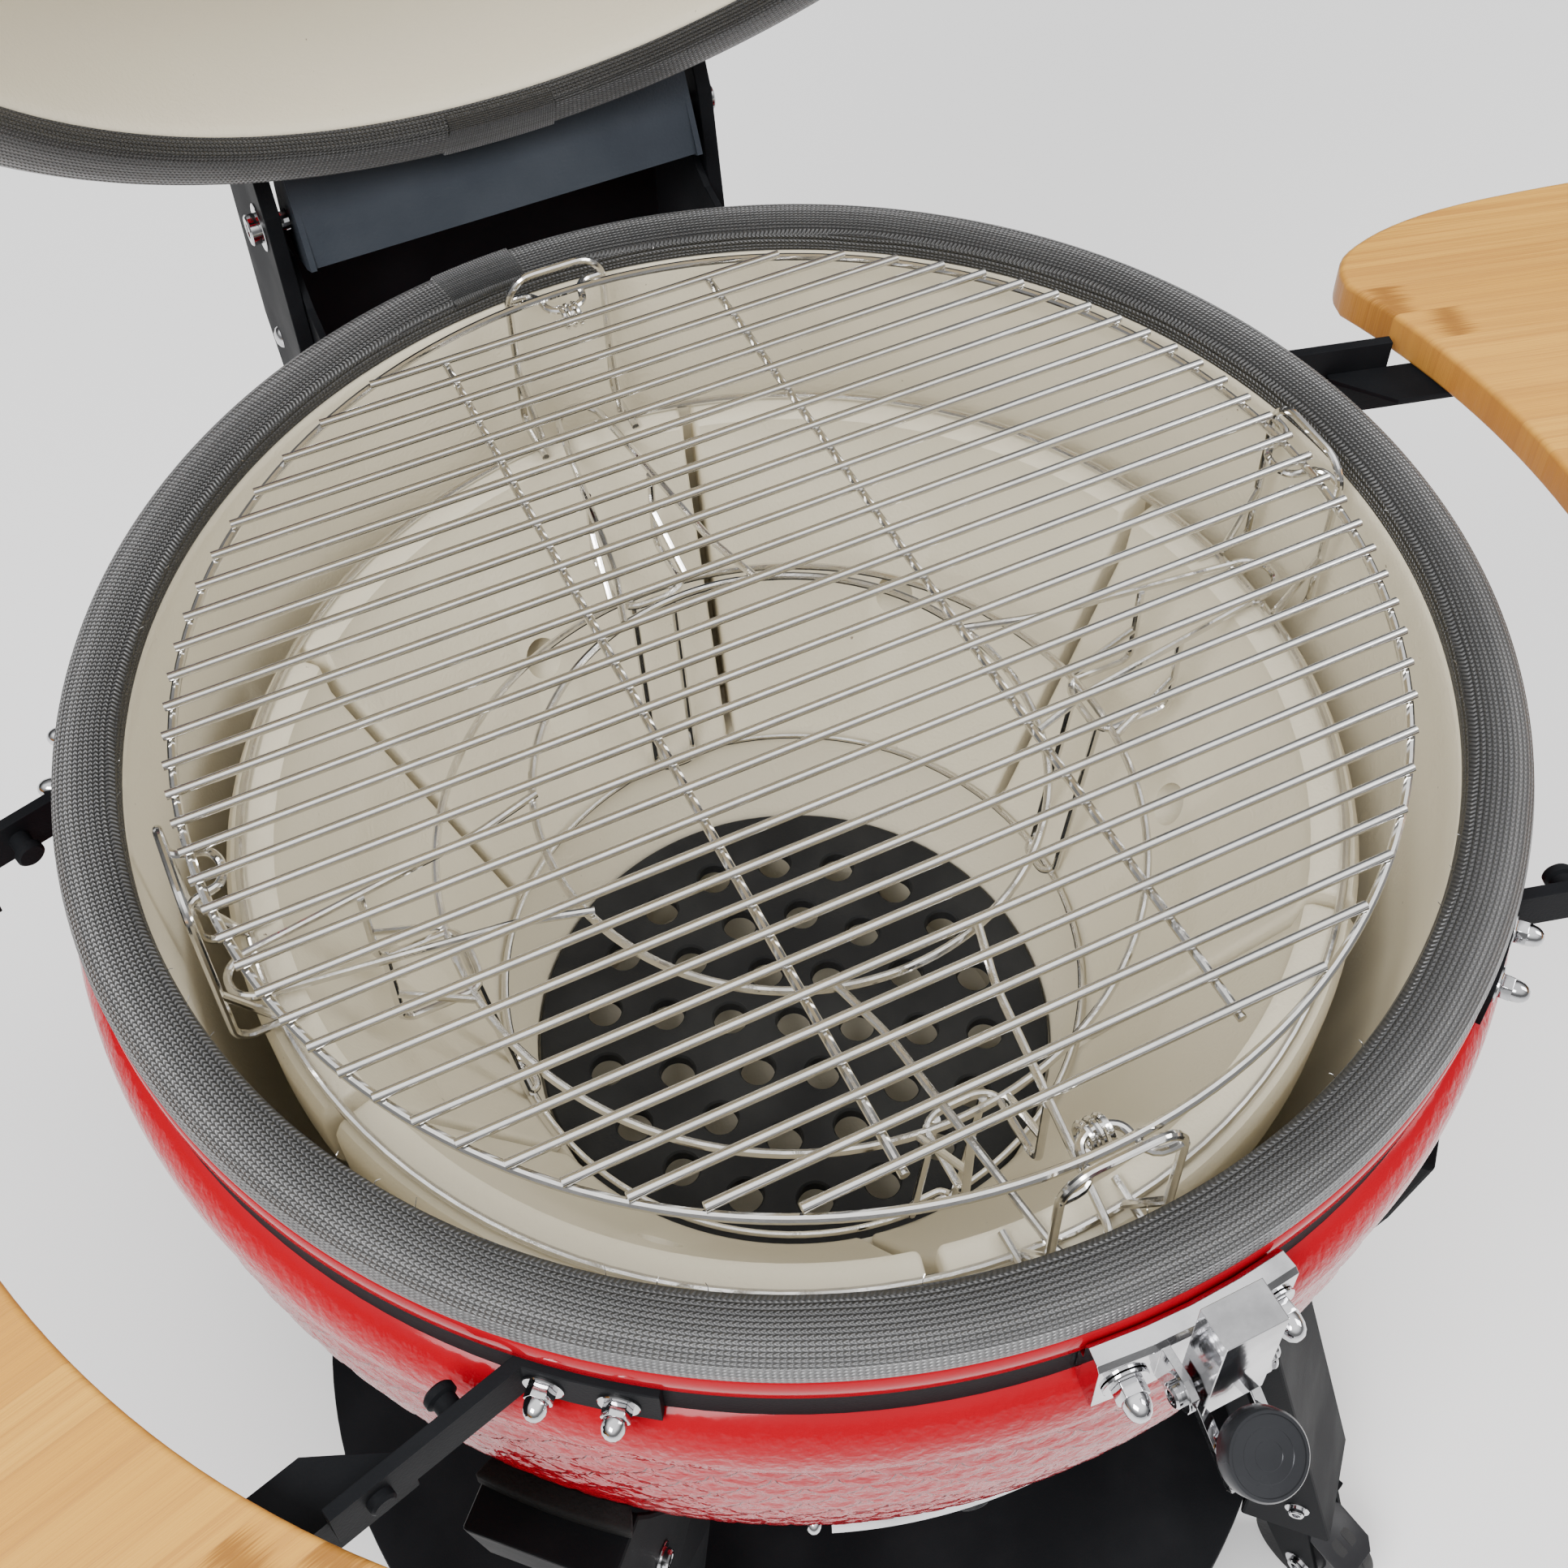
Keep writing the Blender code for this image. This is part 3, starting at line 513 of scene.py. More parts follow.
def knitted(name, pitch=ROW_PITCH, stitches=STITCHES, vee=1.0):
    """Knitted wire gasket: rows of V-shaped stitches round the axis. With no vee it is a plain weave."""
    made, tree, shader = start_look(name, (0.235, 0.235, 0.24), 0.42, 0.55)
    vector, x, y, z = where(tree)
    radius = op(tree, "SQRT", op(tree, "ADD", op(tree, "MULTIPLY", x, x), op(tree, "MULTIPLY", y, y)))
    wander = op(tree, "MULTIPLY", noise(tree, vector, 16.0, 1.0), 0.0022)
    row = op(tree, "DIVIDE", op(tree, "ADD", op(tree, "SUBTRACT", radius, z), wander), pitch)
    across = op(tree, "ABSOLUTE", op(tree, "SUBTRACT", op(tree, "FRACT", row), 0.5))
    along = op(tree, "MULTIPLY", op(tree, "ARCTAN2", x, y), stitches / (2 * math.pi))
    phase = op(tree, "MULTIPLY", op(tree, "MULTIPLY_ADD", across, vee, along), 2 * math.pi)
    stitch = op(tree, "MULTIPLY_ADD", op(tree, "SINE", phase), 0.5, 0.5)
    ridge = op(tree, "SUBTRACT", 1.0, op(tree, "MULTIPLY", op(tree, "MULTIPLY", across, across), 3.4))
    height = op(tree, "MULTIPLY", ridge, op(tree, "MULTIPLY_ADD", stitch, 0.6, 0.4))
    relief(tree, shader, height, 0.0011)
    strand = random_of(tree, op(tree, "FLOOR", row))
    outer = between(tree, radius, 0.280, 0.303, 0.26, 1.0)
    light = op(tree, "MULTIPLY", outer, op(tree, "MULTIPLY_ADD", strand, 0.35, 0.65))
    patchy = op(tree, "MULTIPLY_ADD", noise(tree, vector, 11.0, 4.0), 0.7, 0.62)
    # painted shade: the grooves between stitches darker than the stitch tops
    groove_shade = between(tree, height, 0.1, 0.9, 0.35, 1.0)
    bright = op(tree, "MULTIPLY", op(tree, "MULTIPLY", light, patchy), groove_shade)
    tone = mixed(tree, bright, (0.012, 0.012, 0.012), (0.34, 0.34, 0.345))
    tree.links.new(tone, shader.inputs["Base Color"])
    return made


STRIP = 0.021


def bamboo(name, azimuth):
    """Laminated bamboo: strips with their own tone, streaks along them, and joints with dark dots; the board's
    sides and underside carry painted shade.
    """
    made, tree, shader = start_look(name, (0.72, 0.44, 0.17), 0.34)
    shader.inputs["Specular IOR Level"].default_value = 0.2
    _, u, v, z = where(tree, azimuth)
    strip = op(tree, "FLOOR", op(tree, "DIVIDE", v, STRIP))
    own = random_of(tree, op(tree, "ADD", strip, 0.37))
    long_u = op(tree, "MULTIPLY", u, 4.0)
    streak = noise(tree, joined(tree, long_u, op(tree, "MULTIPLY", v, 320.0), own), 1.0, 4.0)
    fine = joined(tree, op(tree, "MULTIPLY", u, 22.0), op(tree, "MULTIPLY", v, 1500.0), own)
    fibre = noise(tree, fine, 1.0, 3.0)
    pale = mixed(tree, own, (0.62, 0.325, 0.06), (0.53, 0.255, 0.042))
    body = mixed(tree, between(tree, streak, 0.35, 0.72), pale, (0.47, 0.225, 0.045))
    body = mixed(tree, between(tree, fibre, 0.55, 0.85, 0.0, 0.5), body, (0.36, 0.155, 0.028))
    spot = op(tree, "FRACT", op(tree, "ADD", op(tree, "DIVIDE", u, 0.29), op(tree, "MULTIPLY", own, 7.3)))
    near = op(tree, "ABSOLUTE", op(tree, "SUBTRACT", spot, 0.5))
    ragged = op(tree, "ADD", near, op(tree, "MULTIPLY", op(tree, "SUBTRACT", fibre, 0.5), 0.09))
    rare = op(tree, "GREATER_THAN", random_of(tree, op(tree, "ADD", strip, 9.1)), 0.62)
    mark = op(tree, "MULTIPLY", between(tree, ragged, 0.005, 0.045, 0.75, 0.0), rare)
    body = mixed(tree, mark, body, (0.20, 0.075, 0.014))
    seam = op(tree, "ABSOLUTE", op(tree, "SUBTRACT", op(tree, "FRACT", op(tree, "DIVIDE", v, STRIP)), 0.5))
    body = mixed(tree, between(tree, seam, 0.482, 0.5, 0.0, 0.4), body, (0.40, 0.19, 0.05))
    # painted shade: the board's sides and underside darker than its top
    edge = between(tree, z, -0.0165, -0.0134, 0.55, 0.0)
    tree.links.new(mixed(tree, edge, body, (0.36, 0.16, 0.035)), shader.inputs["Base Color"])
    relief(tree, shader, op(tree, "ADD", fibre, streak), 0.00018)
    return made


def clear_glass():
    made, tree, shader = start_look("gauge_glass", (0.96, 0.98, 0.98), 0.03)
    shader.inputs["Transmission Weight"].default_value = 1.0
    shader.inputs["IOR"].default_value = 1.45
    relief(tree, shader, noise(tree, anywhere(tree), 40.0), 0.00003)
    return made


LOOKS = {
    "glaze": glaze(),
    "cream": clay("cream_ceramic", (0.73, 0.67, 0.525), (0.16, 0.12, 0.08)),
    "gasket": knitted("gasket_mesh"),
    "weave": knitted("gasket_weave", 0.0013, 1500, 0.0),
    "powder": coated("black_steel", (0.0055, 0.006, 0.007), (0.011, 0.0115, 0.013), 0.55, shine=0.04),
    "slate": coated("grey_steel", (0.024, 0.029, 0.037), (0.036, 0.042, 0.052), 0.44, 620.0, 0.0002),
    "wire": polished("wire_chrome", (0.72, 0.71, 0.69), 0.11),
    # chrome: its coarse, strong dark blotches are painted reflections of dark surroundings
    "chrome": polished("chrome", (0.60, 0.60, 0.615), 0.07, 24.0, 0.42),
    "iron": coated("cast_iron", (0.013, 0.0135, 0.015), (0.028, 0.029, 0.030), 0.52, 700.0, 0.0002),
    "bamboo_right": bamboo("bamboo_right", SHELF_AZIMUTH),
    "bamboo_left": bamboo("bamboo_left", -SHELF_AZIMUTH),
    "bamboo_bar": bamboo("bamboo_bar", 90.0),
    "plastic": coated("black_plastic", (0.018, 0.018, 0.020), (0.03, 0.03, 0.032), 0.34, 500.0, 0.00006),
    "knob": coated("knob_face", (0.028, 0.029, 0.032), (0.060, 0.062, 0.068), 0.30, 300.0, 0.00005, 0.5),
    "rubber": coated("wheel_rubber", (0.022, 0.022, 0.023), (0.045, 0.044, 0.043), 0.62, 400.0, 0.0003),
    "felt": coated("black_felt", (0.010, 0.010, 0.010), (0.026, 0.025, 0.025), 0.95, 420.0, 0.0009),
    "dial": coated("dial_white", (0.74, 0.74, 0.71), (0.66, 0.66, 0.62), 0.45, 300.0, 0.00004),
    "glass": clear_glass(),
}


def placed(name, data):
    """New object in the scene."""
    made = bpy.data.objects.new(name, data)
    bpy.context.scene.collection.objects.link(made)
    return made


def piece(name, bm, look, body, covers=(), inner=None, smooth_deg=35.0):
    """A visible piece, drawn in the grill's frame in millimetres, that rides on a body."""
    bmesh.ops.recalc_face_normals(bm, faces=bm.faces)
    mesh = bpy.data.meshes.new(name)
    bm.to_mesh(mesh)
    bm.free()
    mesh.materials.clear()
    mesh.materials.append(LOOKS[look])
    if inner:
        mesh.materials.append(LOOKS["cream"])
        for face in mesh.polygons:
            face.material_index = int(inner(face))
    mesh.transform(Matrix.Scale(MM, 4))
    stored = mesh.attributes.new(PLACE, "FLOAT_VECTOR", "POINT")
    for item, vert in zip(stored.data, mesh.vertices):
        item.vector = vert.co
    mesh.transform(LID if body in LID_BODIES else BASE)
    mesh.shade_smooth()
    mesh.set_sharp_from_angle(angle=math.radians(smooth_deg))
    made = placed(name, mesh)
    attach(made, body)
    if covers:
        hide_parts(*covers)
    return made


LID_BODIES = ("lid", "vent_cap", "gauge_needle")


def faces_inside(way):
    """Test for the unglazed inner faces: way is 1 for the bowl and -1 for the lid."""

    def test(face):
        out = Vector((face.center.x, face.center.y, 0))
        lean = face.normal.z * way - face.normal.dot(out.normalized())
        return out.length < 297 and lean > 0.1

    return test


# Ceramic shell


def rim_line(way, low):
    """Glazed rim, band groove and shoulder: heights count from the rim's face, away from the gasket."""
    steps = [
        (301.8, 0.3), (303, 1.5), (303, 12.5), (302, 14), (297.6, 14.4), (297.6, 33.6), (300.5, 34),
        (304, 37.5), (307.5, 42.5), (309.4, 49), (310, 56), (310, 62.5), (309.3, 65.2), (307.6, 66.8),
        (306.6, 68.5),
    ]
    return [(radius, low + way * depth) for radius, depth in steps]


def draft_hole(low, high, inner, outer, first=-16.0, last=2.0):
    return lathe([(inner, low), (outer, low), (outer, high), (inner, high)], 8, first, last)


def evenly(line):
    """Line of (radius, z) points at even steps, its heights in whole tenths of a millimetre."""
    line = [Vector(point) for point in line]
    path = [line[0]]
    spare = 0.0
    for start, end in zip(line, line[1:]):
        length = (end - start).length
        reach = SCALE_STEP - spare
        while reach <= length:
            path.append(start.lerp(end, reach / length))
            reach += SCALE_STEP
        spare = length - (reach - SCALE_STEP)
    return [(point.x, round(point.y, 1)) for point in path]


def scale_relief(around, rows):
    """Height from 0 to 1 of overlapping scales with round tips, by their count around and their row."""
    row = math.floor(rows)
    down = rows - row
    own = (around - 0.5 * (row % 2)) % 1.0 - 0.5
    below = (around - 0.5 * (row % 2) + 0.5) % 1.0 - 0.5
    tip = math.sqrt(max(1.0 - 4.0 * own * own, 0.0))
    upper = 0.5 + 0.5 * down - 0.9 * own * own
    lower = 0.5 * down - 0.9 * below * below
    on_top = min(max((tip - down + 0.05) / 0.15, 0.0), 1.0)
    return lower + on_top * (upper - lower)


def by_draft(vert):
    """0 under the draft frame, 1 away from it."""
    azimuth = abs(math.degrees(math.atan2(vert.co.x, -vert.co.y)))
    return min(max((azimuth - 24.0) / 3.0, (vert.co.z + 276.0) / 6.0, 0.0), 1.0)


def scaly(bm, line):
    """Raises scales on the part of a shell that follows a line of even steps."""
    layer = bm.verts.layers.float.new(ROWS)
    table = {round(z * 10): k for k, (_, z) in enumerate(line)}
    for vert in bm.verts:
        k = table.get(round(vert.co.z * 10))
        radius = math.hypot(vert.co.x, vert.co.y)
        if k is None or abs(radius - line[k][0]) > 0.5:
            continue
        rows = k * SCALE_STEP / SCALE_ROW
        vert[layer] = rows
        before = line[max(k - 1, 0)]
        after = line[min(k + 1, len(line) - 1)]
        along = Vector((after[0] - before[0], after[1] - before[1])).normalized()
        outward = Vector((abs(along.y), 0, along.x * (1 if along.y < 0 else -1)))
        around = math.atan2(vert.co.x, vert.co.y) * SCALES_AROUND / (2 * math.pi)
        ends = min(k / 3, (len(line) - 1 - k) / 3, 1.0)
        rise = (scale_relief(around, rows) - 0.5) * SCALE_HEIGHT * ends * by_draft(vert)
        out = Vector((vert.co.x, vert.co.y, 0)).normalized()
        vert.co += (out * outward.x + Vector((0, 0, outward.z))) * rise
    return bm


def build_shell():
    side = evenly(flowing([(306.5, -76), *BOWL_SIDE[2:]], 6))
    inside = [(276, -12), (273, -80), (270, -120), (254, -200), (223, -280), (200, -320), (175, -350)]
    inside = flowing(inside, 3)
    inner = [(0, -350), *reversed([tuple(point) for point in inside]), (276.6, -7.5), (278, -6)]
    bowl = lathe([*inner, *rim_line(-1, -6.0), *side, (0, -388.03)], SHELL_STEPS)
    bowl = scaly(cut(bowl, [draft_hole(-345, -290, 150, 300)]), side)
    piece("bowl_glazed", bowl, "glaze", "base", ["bowl"], faces_inside(1), 60.0)
    crown = evenly(flowing([(306.5, 87.5), *DOME_SIDE[2:]], 6))
    inside = [(276.5, 24), (276.5, 60), (266, 145), (246, 183), (212, 217), (165, 243), (110, 258), (52, 269)]
    inside = flowing(inside, 3)
    inner = [(48, 270), *reversed([tuple(point) for point in inside]), (277, 19), (278.5, 17.4)]
    neck = [(72.4, 298.6), (71, 300), (49, 300), (48, 299)]
    dome = scaly(lathe([*inner, *rim_line(1, 17.4), *crown, *neck], SHELL_STEPS), crown)
    piece("lid_glazed", dome, "glaze", "lid", ["lid_dome"], faces_inside(-1), 60.0)


def pillow(inner, outer, low, high, way):
    """Cross-section of a gasket: flat against its ceramic and rounded towards the other gasket."""
    middle_r = (inner + outer) / 2
    waist = (low + high) / 2 - 1
    face = [(outer, low), (outer + 0.4, waist), (outer - 0.8, high - 2.2), (outer - 3.5, high - 0.6)]
    face += [(middle_r + 5, high), (middle_r - 5, high), (inner + 3.5, high - 0.6), (inner + 0.8, high - 2.2)]
    face += [(inner - 0.2, waist), (inner, low)]
    if way > 0:
        return face
    return [(radius, low + high - z) for radius, z in face][::-1]


def patch_outline(inner, outer, top):
    """Cross-section of the woven patch over a gasket's joint."""
    crown = [(inner, top - 3.5), (inner + 2, top - 0.6), (outer - 2, top - 0.6), (outer, top - 3.5)]
    return crown + [(outer, top - 5), (inner, top - 5)]


def frayed(radius, top, azimuths):
    """Loose wire ends that stand up from a gasket's inner edge."""
    shapes = []
    for k, azimuth in enumerate(azimuths):
        lift = 1.5 + 2.5 * ((k * 7) % 5) / 5
        lean = 0.5 - ((k * 3) % 4) / 3
        path = [polar(radius, azimuth, top - 3), polar(radius - 1, azimuth + 0.1 * lean, top - 1)]
        path.append(polar(radius - 2.4, azimuth + 0.5 * lean, top - 3 + lift))
        shapes.append(tube(rounded(path, 1.0), 0.16, sides=5))
    return merged(shapes)


def build_gaskets():
    knit = lathe(pillow(276.2, 302.8, -5.8, 5.5, 1), GASKET_STEPS)
    piece("bowl_gasket_knit", knit, "gasket", "base", ["bowl_gasket"])
    knit = lathe(pillow(277.4, 303.2, 6.1, 17.3, -1), GASKET_STEPS)
    piece("lid_gasket_knit", knit, "gasket", "lid", ["lid_gasket"])
    splice = lathe(patch_outline(276.0, 303.1, 6.3), 12, 182, 190)
    piece("bowl_gasket_splice", eased(splice, 0.5, 2), "weave", "base")
    outline = [(277.2, 8.6), (279, 6.0), (301, 6.0), (303.5, 8.6), (303.5, 15), (277.2, 15)]
    splice = lathe(outline, 12, 175, 186)
    piece("lid_gasket_splice", eased(splice, 0.5, 2), "weave", "lid")
    loose = [k * 7.3 + 11 * (k % 3) for k in range(46)]
    piece("bowl_gasket_ends", frayed(277, 5.5, loose), "wire", "base")
    for name, body, low, high in (("bowl_band", "base", -39.6, -20.4), ("lid_band", "lid", 31.4, 51.0)):
        outline = [(297.8, low), (300.2, low), (300.8, low + 0.6)]
        outline += [(300.8, high - 0.6), (300.2, high), (297.8, high)]
        piece(f"{name}_strip", lathe(outline), "powder", body, [name])


# Fire chamber

SEGMENTS = 6
SEGMENT_GAP_DEG = 1.6


def build_firebox():
    outline = [
        (229.5, -80), (231.5, -78.4), (235, -78), (244, -78), (248, -79.5), (250.8, -84), (251, -90),
        (250, -120), (234, -154), (215, -190), (176, -245), (147, -245), (226.6, -98),
    ]
    for index in range(SEGMENTS):
        first = -13 + 360.0 / SEGMENTS * index + SEGMENT_GAP_DEG / 2
        last = first + 360.0 / SEGMENTS - SEGMENT_GAP_DEG
        block = eased(lathe(outline, 22, first, last), 2.6, 3, 60.0)
        drill = lathe([(0, 140), (10, 140), (10, 300), (0, 300)], 28)
        drill = aimed(drill, (0, 0, -165), polar(1, (first + last) / 2))
        name = f"firebox_segment_{index + 1}"
        piece(f"{name}_clay", cut(block, [drill]), "cream", "base", [name])
    outline = [
        (148, -245.4), (188, -245.4), (191, -248), (192, -252), (192, -300), (165, -349.6), (120, -349.6),
        (120, -306.3), (134.8, -306.3), (135.2, -297), (137, -294),
    ]
    base = cut(lathe(outline, 120), [draft_hole(-340, -314, 100, 200)])
    piece("firebox_base_clay", base, "cream", "base", ["firebox_base"])


HOLE_PITCH = 33.5


def build_coal_grate():
    outline = [(0, -305.7), (132.6, -305.7), (133.5, -304.8), (133.5, -299), (132.4, -298), (0, -298)]
    disc = lathe(outline, 120)
    holes = []
    for circle in range(4):
        count = max(6 * circle, 1)
        for k in range(count):
            hole = lathe([(0, -311), (9, -311), (9, -299.2), (10, -297.9), (10, -290), (0, -290)], 28)
            holes.append(moved(hole, Matrix.Translation(polar(HOLE_PITCH * circle, 360.0 * k / count))))
    piece("charcoal_grate_iron", cut(disc, holes), "iron", "charcoal_grate", ["charcoal_grate"])


# Wires

RODS = 32
ROD_PITCH = 14.67
ROD_RADIUS = 2.0


def build_cooking_grate():
    shapes = []
    for k in range(RODS):
        y = ((RODS - 1) / 2 - k) * ROD_PITCH
        reach = math.sqrt(247.0**2 - y * y) + 9.5
        ends = [(-reach, y, 12), (-reach + 0.7, y, 12), (reach - 0.7, y, 12), (reach, y, 12)]
        shapes.append(tube(ends, ROD_RADIUS, sides=12))
    for x in (-68.5, 68.5):
        shapes.append(tube([(x, -231, 8.6), (x, 228, 8.6)], ROD_RADIUS))
    shapes.append(hoop(253, 8.4, ROD_RADIUS, 180))
    piece("cooking_grate_rods", merged(shapes), "wire", "cooking_grate", ["cooking_grate"])


def mirrored_path(half):
    """Path whose second half repeats the first on the other side of v = 0."""
    return half + [(u, -v, z) for u, v, z in reversed(half)]


def rack_corner(azimuth):
    """Handle, grate seat, hairpins, steps and braces at one of the rack's four corners."""
    halves = [
        [(232, -25, -75), (256, -25, -75), (261, -25, -70), (261, -25, 9), (261, -17, 18)],
        [(261, -26, 5.6), (261, -12, 5.6), (246, -9, 5.6), (243, -3, 5.6)],
        [(108, -34, -72), (140, -25, -72), (250, -11, -72), (257, -5, -72)],
        [(195, -17, -73), (195, -17, -118), (191, -17, -122), (161, -17, -122), (157, -10, -122)],
        [(160, -11, -122), (157, -11, -150), (147, -11, -238), (141, -8, -240)],
    ]
    paths = [rounded(mirrored_path(half), 7.0) for half in halves]
    for side in (-1, 1):
        paths.append([(261, 25 * side, -40), (244, 22 * side, -73)])
        paths.append([(195, 17 * side, -100), (164, 21 * side, -122)])
    shapes = [moved(tube(path, 1.9), turn(azimuth)) for path in paths]
    if azimuth in (0, 180):
        shapes.append(moved(coil((243, -6, 1.5), (0, 1, 0), 5.2, 3, 3.6), turn(azimuth)))
    return shapes


def build_rack():
    shapes = [hoop(243.5, -75.6), hoop(115, -75.6), hoop(164, -122), hoop(145, -240, 1.6)]
    for azimuth in (0, 90, 180, 270):
        shapes += rack_corner(azimuth)
    piece("rack_wires", merged(shapes), "wire", "rack", ["rack"])


# Latch, draft door and hinge


def latch_plane(along, above):
    """(y, z) at a distance along the latch's lever and above it, from its pivot."""
    return LATCH_PIVOT[0] - 0.84 * along - 0.54 * above, LATCH_PIVOT[1] - 0.54 * along + 0.84 * above


KNOB_AXIS = Vector((0, -0.54, 0.84))


def build_latch():
    centre = (0, *latch_plane(27.5, 3.4))
    face = [
        (0, -2), (14.4, -2), (15, -1.2), (15, 5.8), (14.2, 7), (13.2, 7), (12.9, 6.5), (9, 6.6),
        (8.8, 6.45), (5, 6.6), (4.8, 6.45), (0, 6.6),
    ]
    piece("latch_knob_disc", aimed(lathe(face, 64), centre, KNOB_AXIS), "knob", "latch", ["latch_knob"])
    cup = [(0, -8.5), (8, -8.5), (10.5, -7), (12.6, -4), (13.4, -2), (0, -2)]
    piece("latch_knob_cup", aimed(lathe(cup, 48), centre, KNOB_AXIS), "chrome", "latch")
    nuts = [acorn(polar(315.2, azimuth, -25), polar(1, azimuth), 1.15) for azimuth in (-5.2, 5.6)]
    for side in (-1, 1):
        nuts.append(socket_bolt((side * 16.4, -327, -18), (side, 0, 0), 4.6, 4.0))
    piece("latch_fasteners", merged(nuts), "chrome", "base")
    spring = coil((-7, *LATCH_PIVOT), (1, 0, 0), 4.4, 7, 2.0, 0.9)
    piece("latch_spring", spring, "wire", "latch")


def behind_wall(azimuth, z):
    """Point just inside the bowl's outer face, where the draft's screen sits."""
    return polar(radius_at(BOWL_SIDE, z) - 9, azimuth, z)


def build_draft():
    bar = [(256, -284), (260.5, -284), (263, -283), (264.2, -280), (263, -277), (260.5, -276), (256, -276)]
    piece("draft_rail_bar", lathe(bar, 40, -22.5, 22.5), "chrome", "base", ["draft_rail"])
    bolts = []
    for z in (-296, -343):
        radius = radius_at(BOWL_SIDE, z) + 2.4
        bolts.append(socket_bolt(polar(radius, -20.6, z), polar(1, -20.6, -0.75), 3.2, 3.0))
    for azimuth in (-24.2, 24.2):
        bolts.append(acorn(polar(254, azimuth, -280), polar(1, azimuth, -0.45), 0.8))
    piece("draft_fasteners", merged(bolts), "chrome", "base")
    paths = []
    for k in range(17):
        azimuth = -15.4 + 17.0 * k / 16
        paths.append([behind_wall(azimuth, z) for z in (-347, -320, -288)])
    for k in range(8):
        z = -341 + 50 * k / 7
        paths.append([behind_wall(-17 + 2.0 * i, z) for i in range(11)])
    mesh_wires = [tube(path, 0.5, sides=6) for path in paths]
    piece("draft_screen", merged(mesh_wires), "wire", "base")


def build_hinge():
    shapes = []
    for side in (-1, 1):
        shapes.append(socket_bolt((side * 120, HINGE_Y, HINGE_Z), (side, 0, 0), 8.0, 6.5))
        button = lathe([(0, 3), (3, 2.6), (5.4, 1.2), (6, 0), (0, 0)], 24)
        shapes.append(aimed(button, (side * 120, 380, -72), (side, 0, 0)))
        shapes.append(acorn(polar(304.8, 180 + side * 17, -30), polar(1, 180 + side * 17)))
    piece("hinge_fasteners", merged(shapes), "chrome", "base")
    nuts = [acorn(polar(304.8, azimuth, 41), polar(1, azimuth)) for azimuth in (163.5, 170, 190, 196.5)]
    piece("lid_hinge_fasteners", merged(nuts), "chrome", "lid")


# Stand


def build_lower_shelf():
    rim = [
        (0, -626), (297, -626), (298.5, -626.5), (299, -628), (299, -642), (296.6, -642), (296.6, -628.5),
        (0, -628.5),
    ]
    tabs = []
    for azimuth in LEGS:
        tab = eased(box((285, 336), (-29, 29), (-642, -627.2)), 1.0, 2)
        tabs.append(moved(tab, turn(azimuth)))
    piece("lower_shelf_disc", merged([lathe(rim, 160), *tabs]), "powder", "base", ["lower_shelf"])


def arc(radius, first_deg, last_deg, steps):
    """Points of an arc about the axis, from one angle to another."""
    angles = [math.radians(first_deg + (last_deg - first_deg) * k / steps) for k in range(steps + 1)]
    return [(radius * math.cos(angle), radius * math.sin(angle)) for angle in angles]


def build_leg_trim():
    bolts = []
    for azimuth in LEGS:
        for side in (-1, 1):
            for radius, z in ((328.6, -636), (276, -286)):
                bolt = socket_bolt((radius, side * 33, z), (0, side, 0), 4.8, 4.6)
                bolts.append(moved(bolt, turn(azimuth)))
    piece("leg_bolts", merged(bolts), "chrome", "base")
    for number, azimuth in enumerate(LEGS):
        outline = arc(288.4, -6, 6, 6) + arc(298.5, 6.6, -6.6, 6)
        pad = eased(prism(outline, -199.8, -189.5), 1.6, 3)
        felt = piece(f"felt_pad_{number + 1}", moved(pad, turn(azimuth)), "felt", "base")


# Azimuths of each leg and of its caster's trail
CORNERS = {
    "front_left": (-45.0, -80.0), "front_right": (45.0, 20.0),
    "back_left": (-135.0, -150.0), "back_right": (135.0, 130.0),
}
WHEEL_RADIUS = 37.5
GROUND_Z = -775.0


def build_casters():
    for corner, (leg, trail) in CORNERS.items():
        top = polar(328, leg, -674.3)
        centre = top + polar(28, trail)
        centre.z = WHEEL_RADIUS + GROUND_Z
        across = polar(1.0, trail + 90)
        half = [(25, -9), (31, -11.8), (34, -12.5), (36.4, -11), (37.5, -7), (37.5, -2.2), (36.7, -1.6)]
        tyre = both_ends(half)
        node = f"caster_wheel_{corner}"
        piece(f"{node}_tyre", aimed(lathe(tyre, 64), centre, across), "rubber", f"wheel_{corner}", [node])
        half = [(5.8, -12), (11, -12), (12.5, -10.5), (13.5, -7), (24, -5.5), (26, -8)]
        hub = both_ends(half)
        piece(f"{node}_hub", aimed(lathe(hub, 48), centre, across), "plastic", f"wheel_{corner}")
        caps = [socket_bolt(centre + across * 17.4 * side, across * side, 6.0, 4.0) for side in (-1, 1)]
        body = f"caster_{corner}"
        race = lathe([(14, -7), (20, -7), (21.5, -5.8), (21.5, -2), (14, -2)], 40)
        piece(f"{body}_bolts", merged([*caps, moved(race, Matrix.Translation(top))]), "chrome", body)
        brake = [(-14, -20), (14, -20), (16, -16), (16, 10), (10, 17), (-10, 17), (-16, 10), (-16, -16)]
        pedal = eased(prism([(x + 47, y) for y, x in brake], -3, 0), 1.0, 2)
        swing = Matrix.Translation((40, 0, -28)) @ Matrix.Rotation(math.radians(24), 4, "Y")
        swing = swing @ Matrix.Translation((-44, 0, 0))
        piece(f"{body}_brake", moved(pedal, Matrix.Translation(top) @ turn(trail) @ swing), "plastic", body)


# Side shelves


def shelf_matrix(side):
    return Matrix.Diagonal((side, 1, 1, 1)) @ turn(SHELF_AZIMUTH)


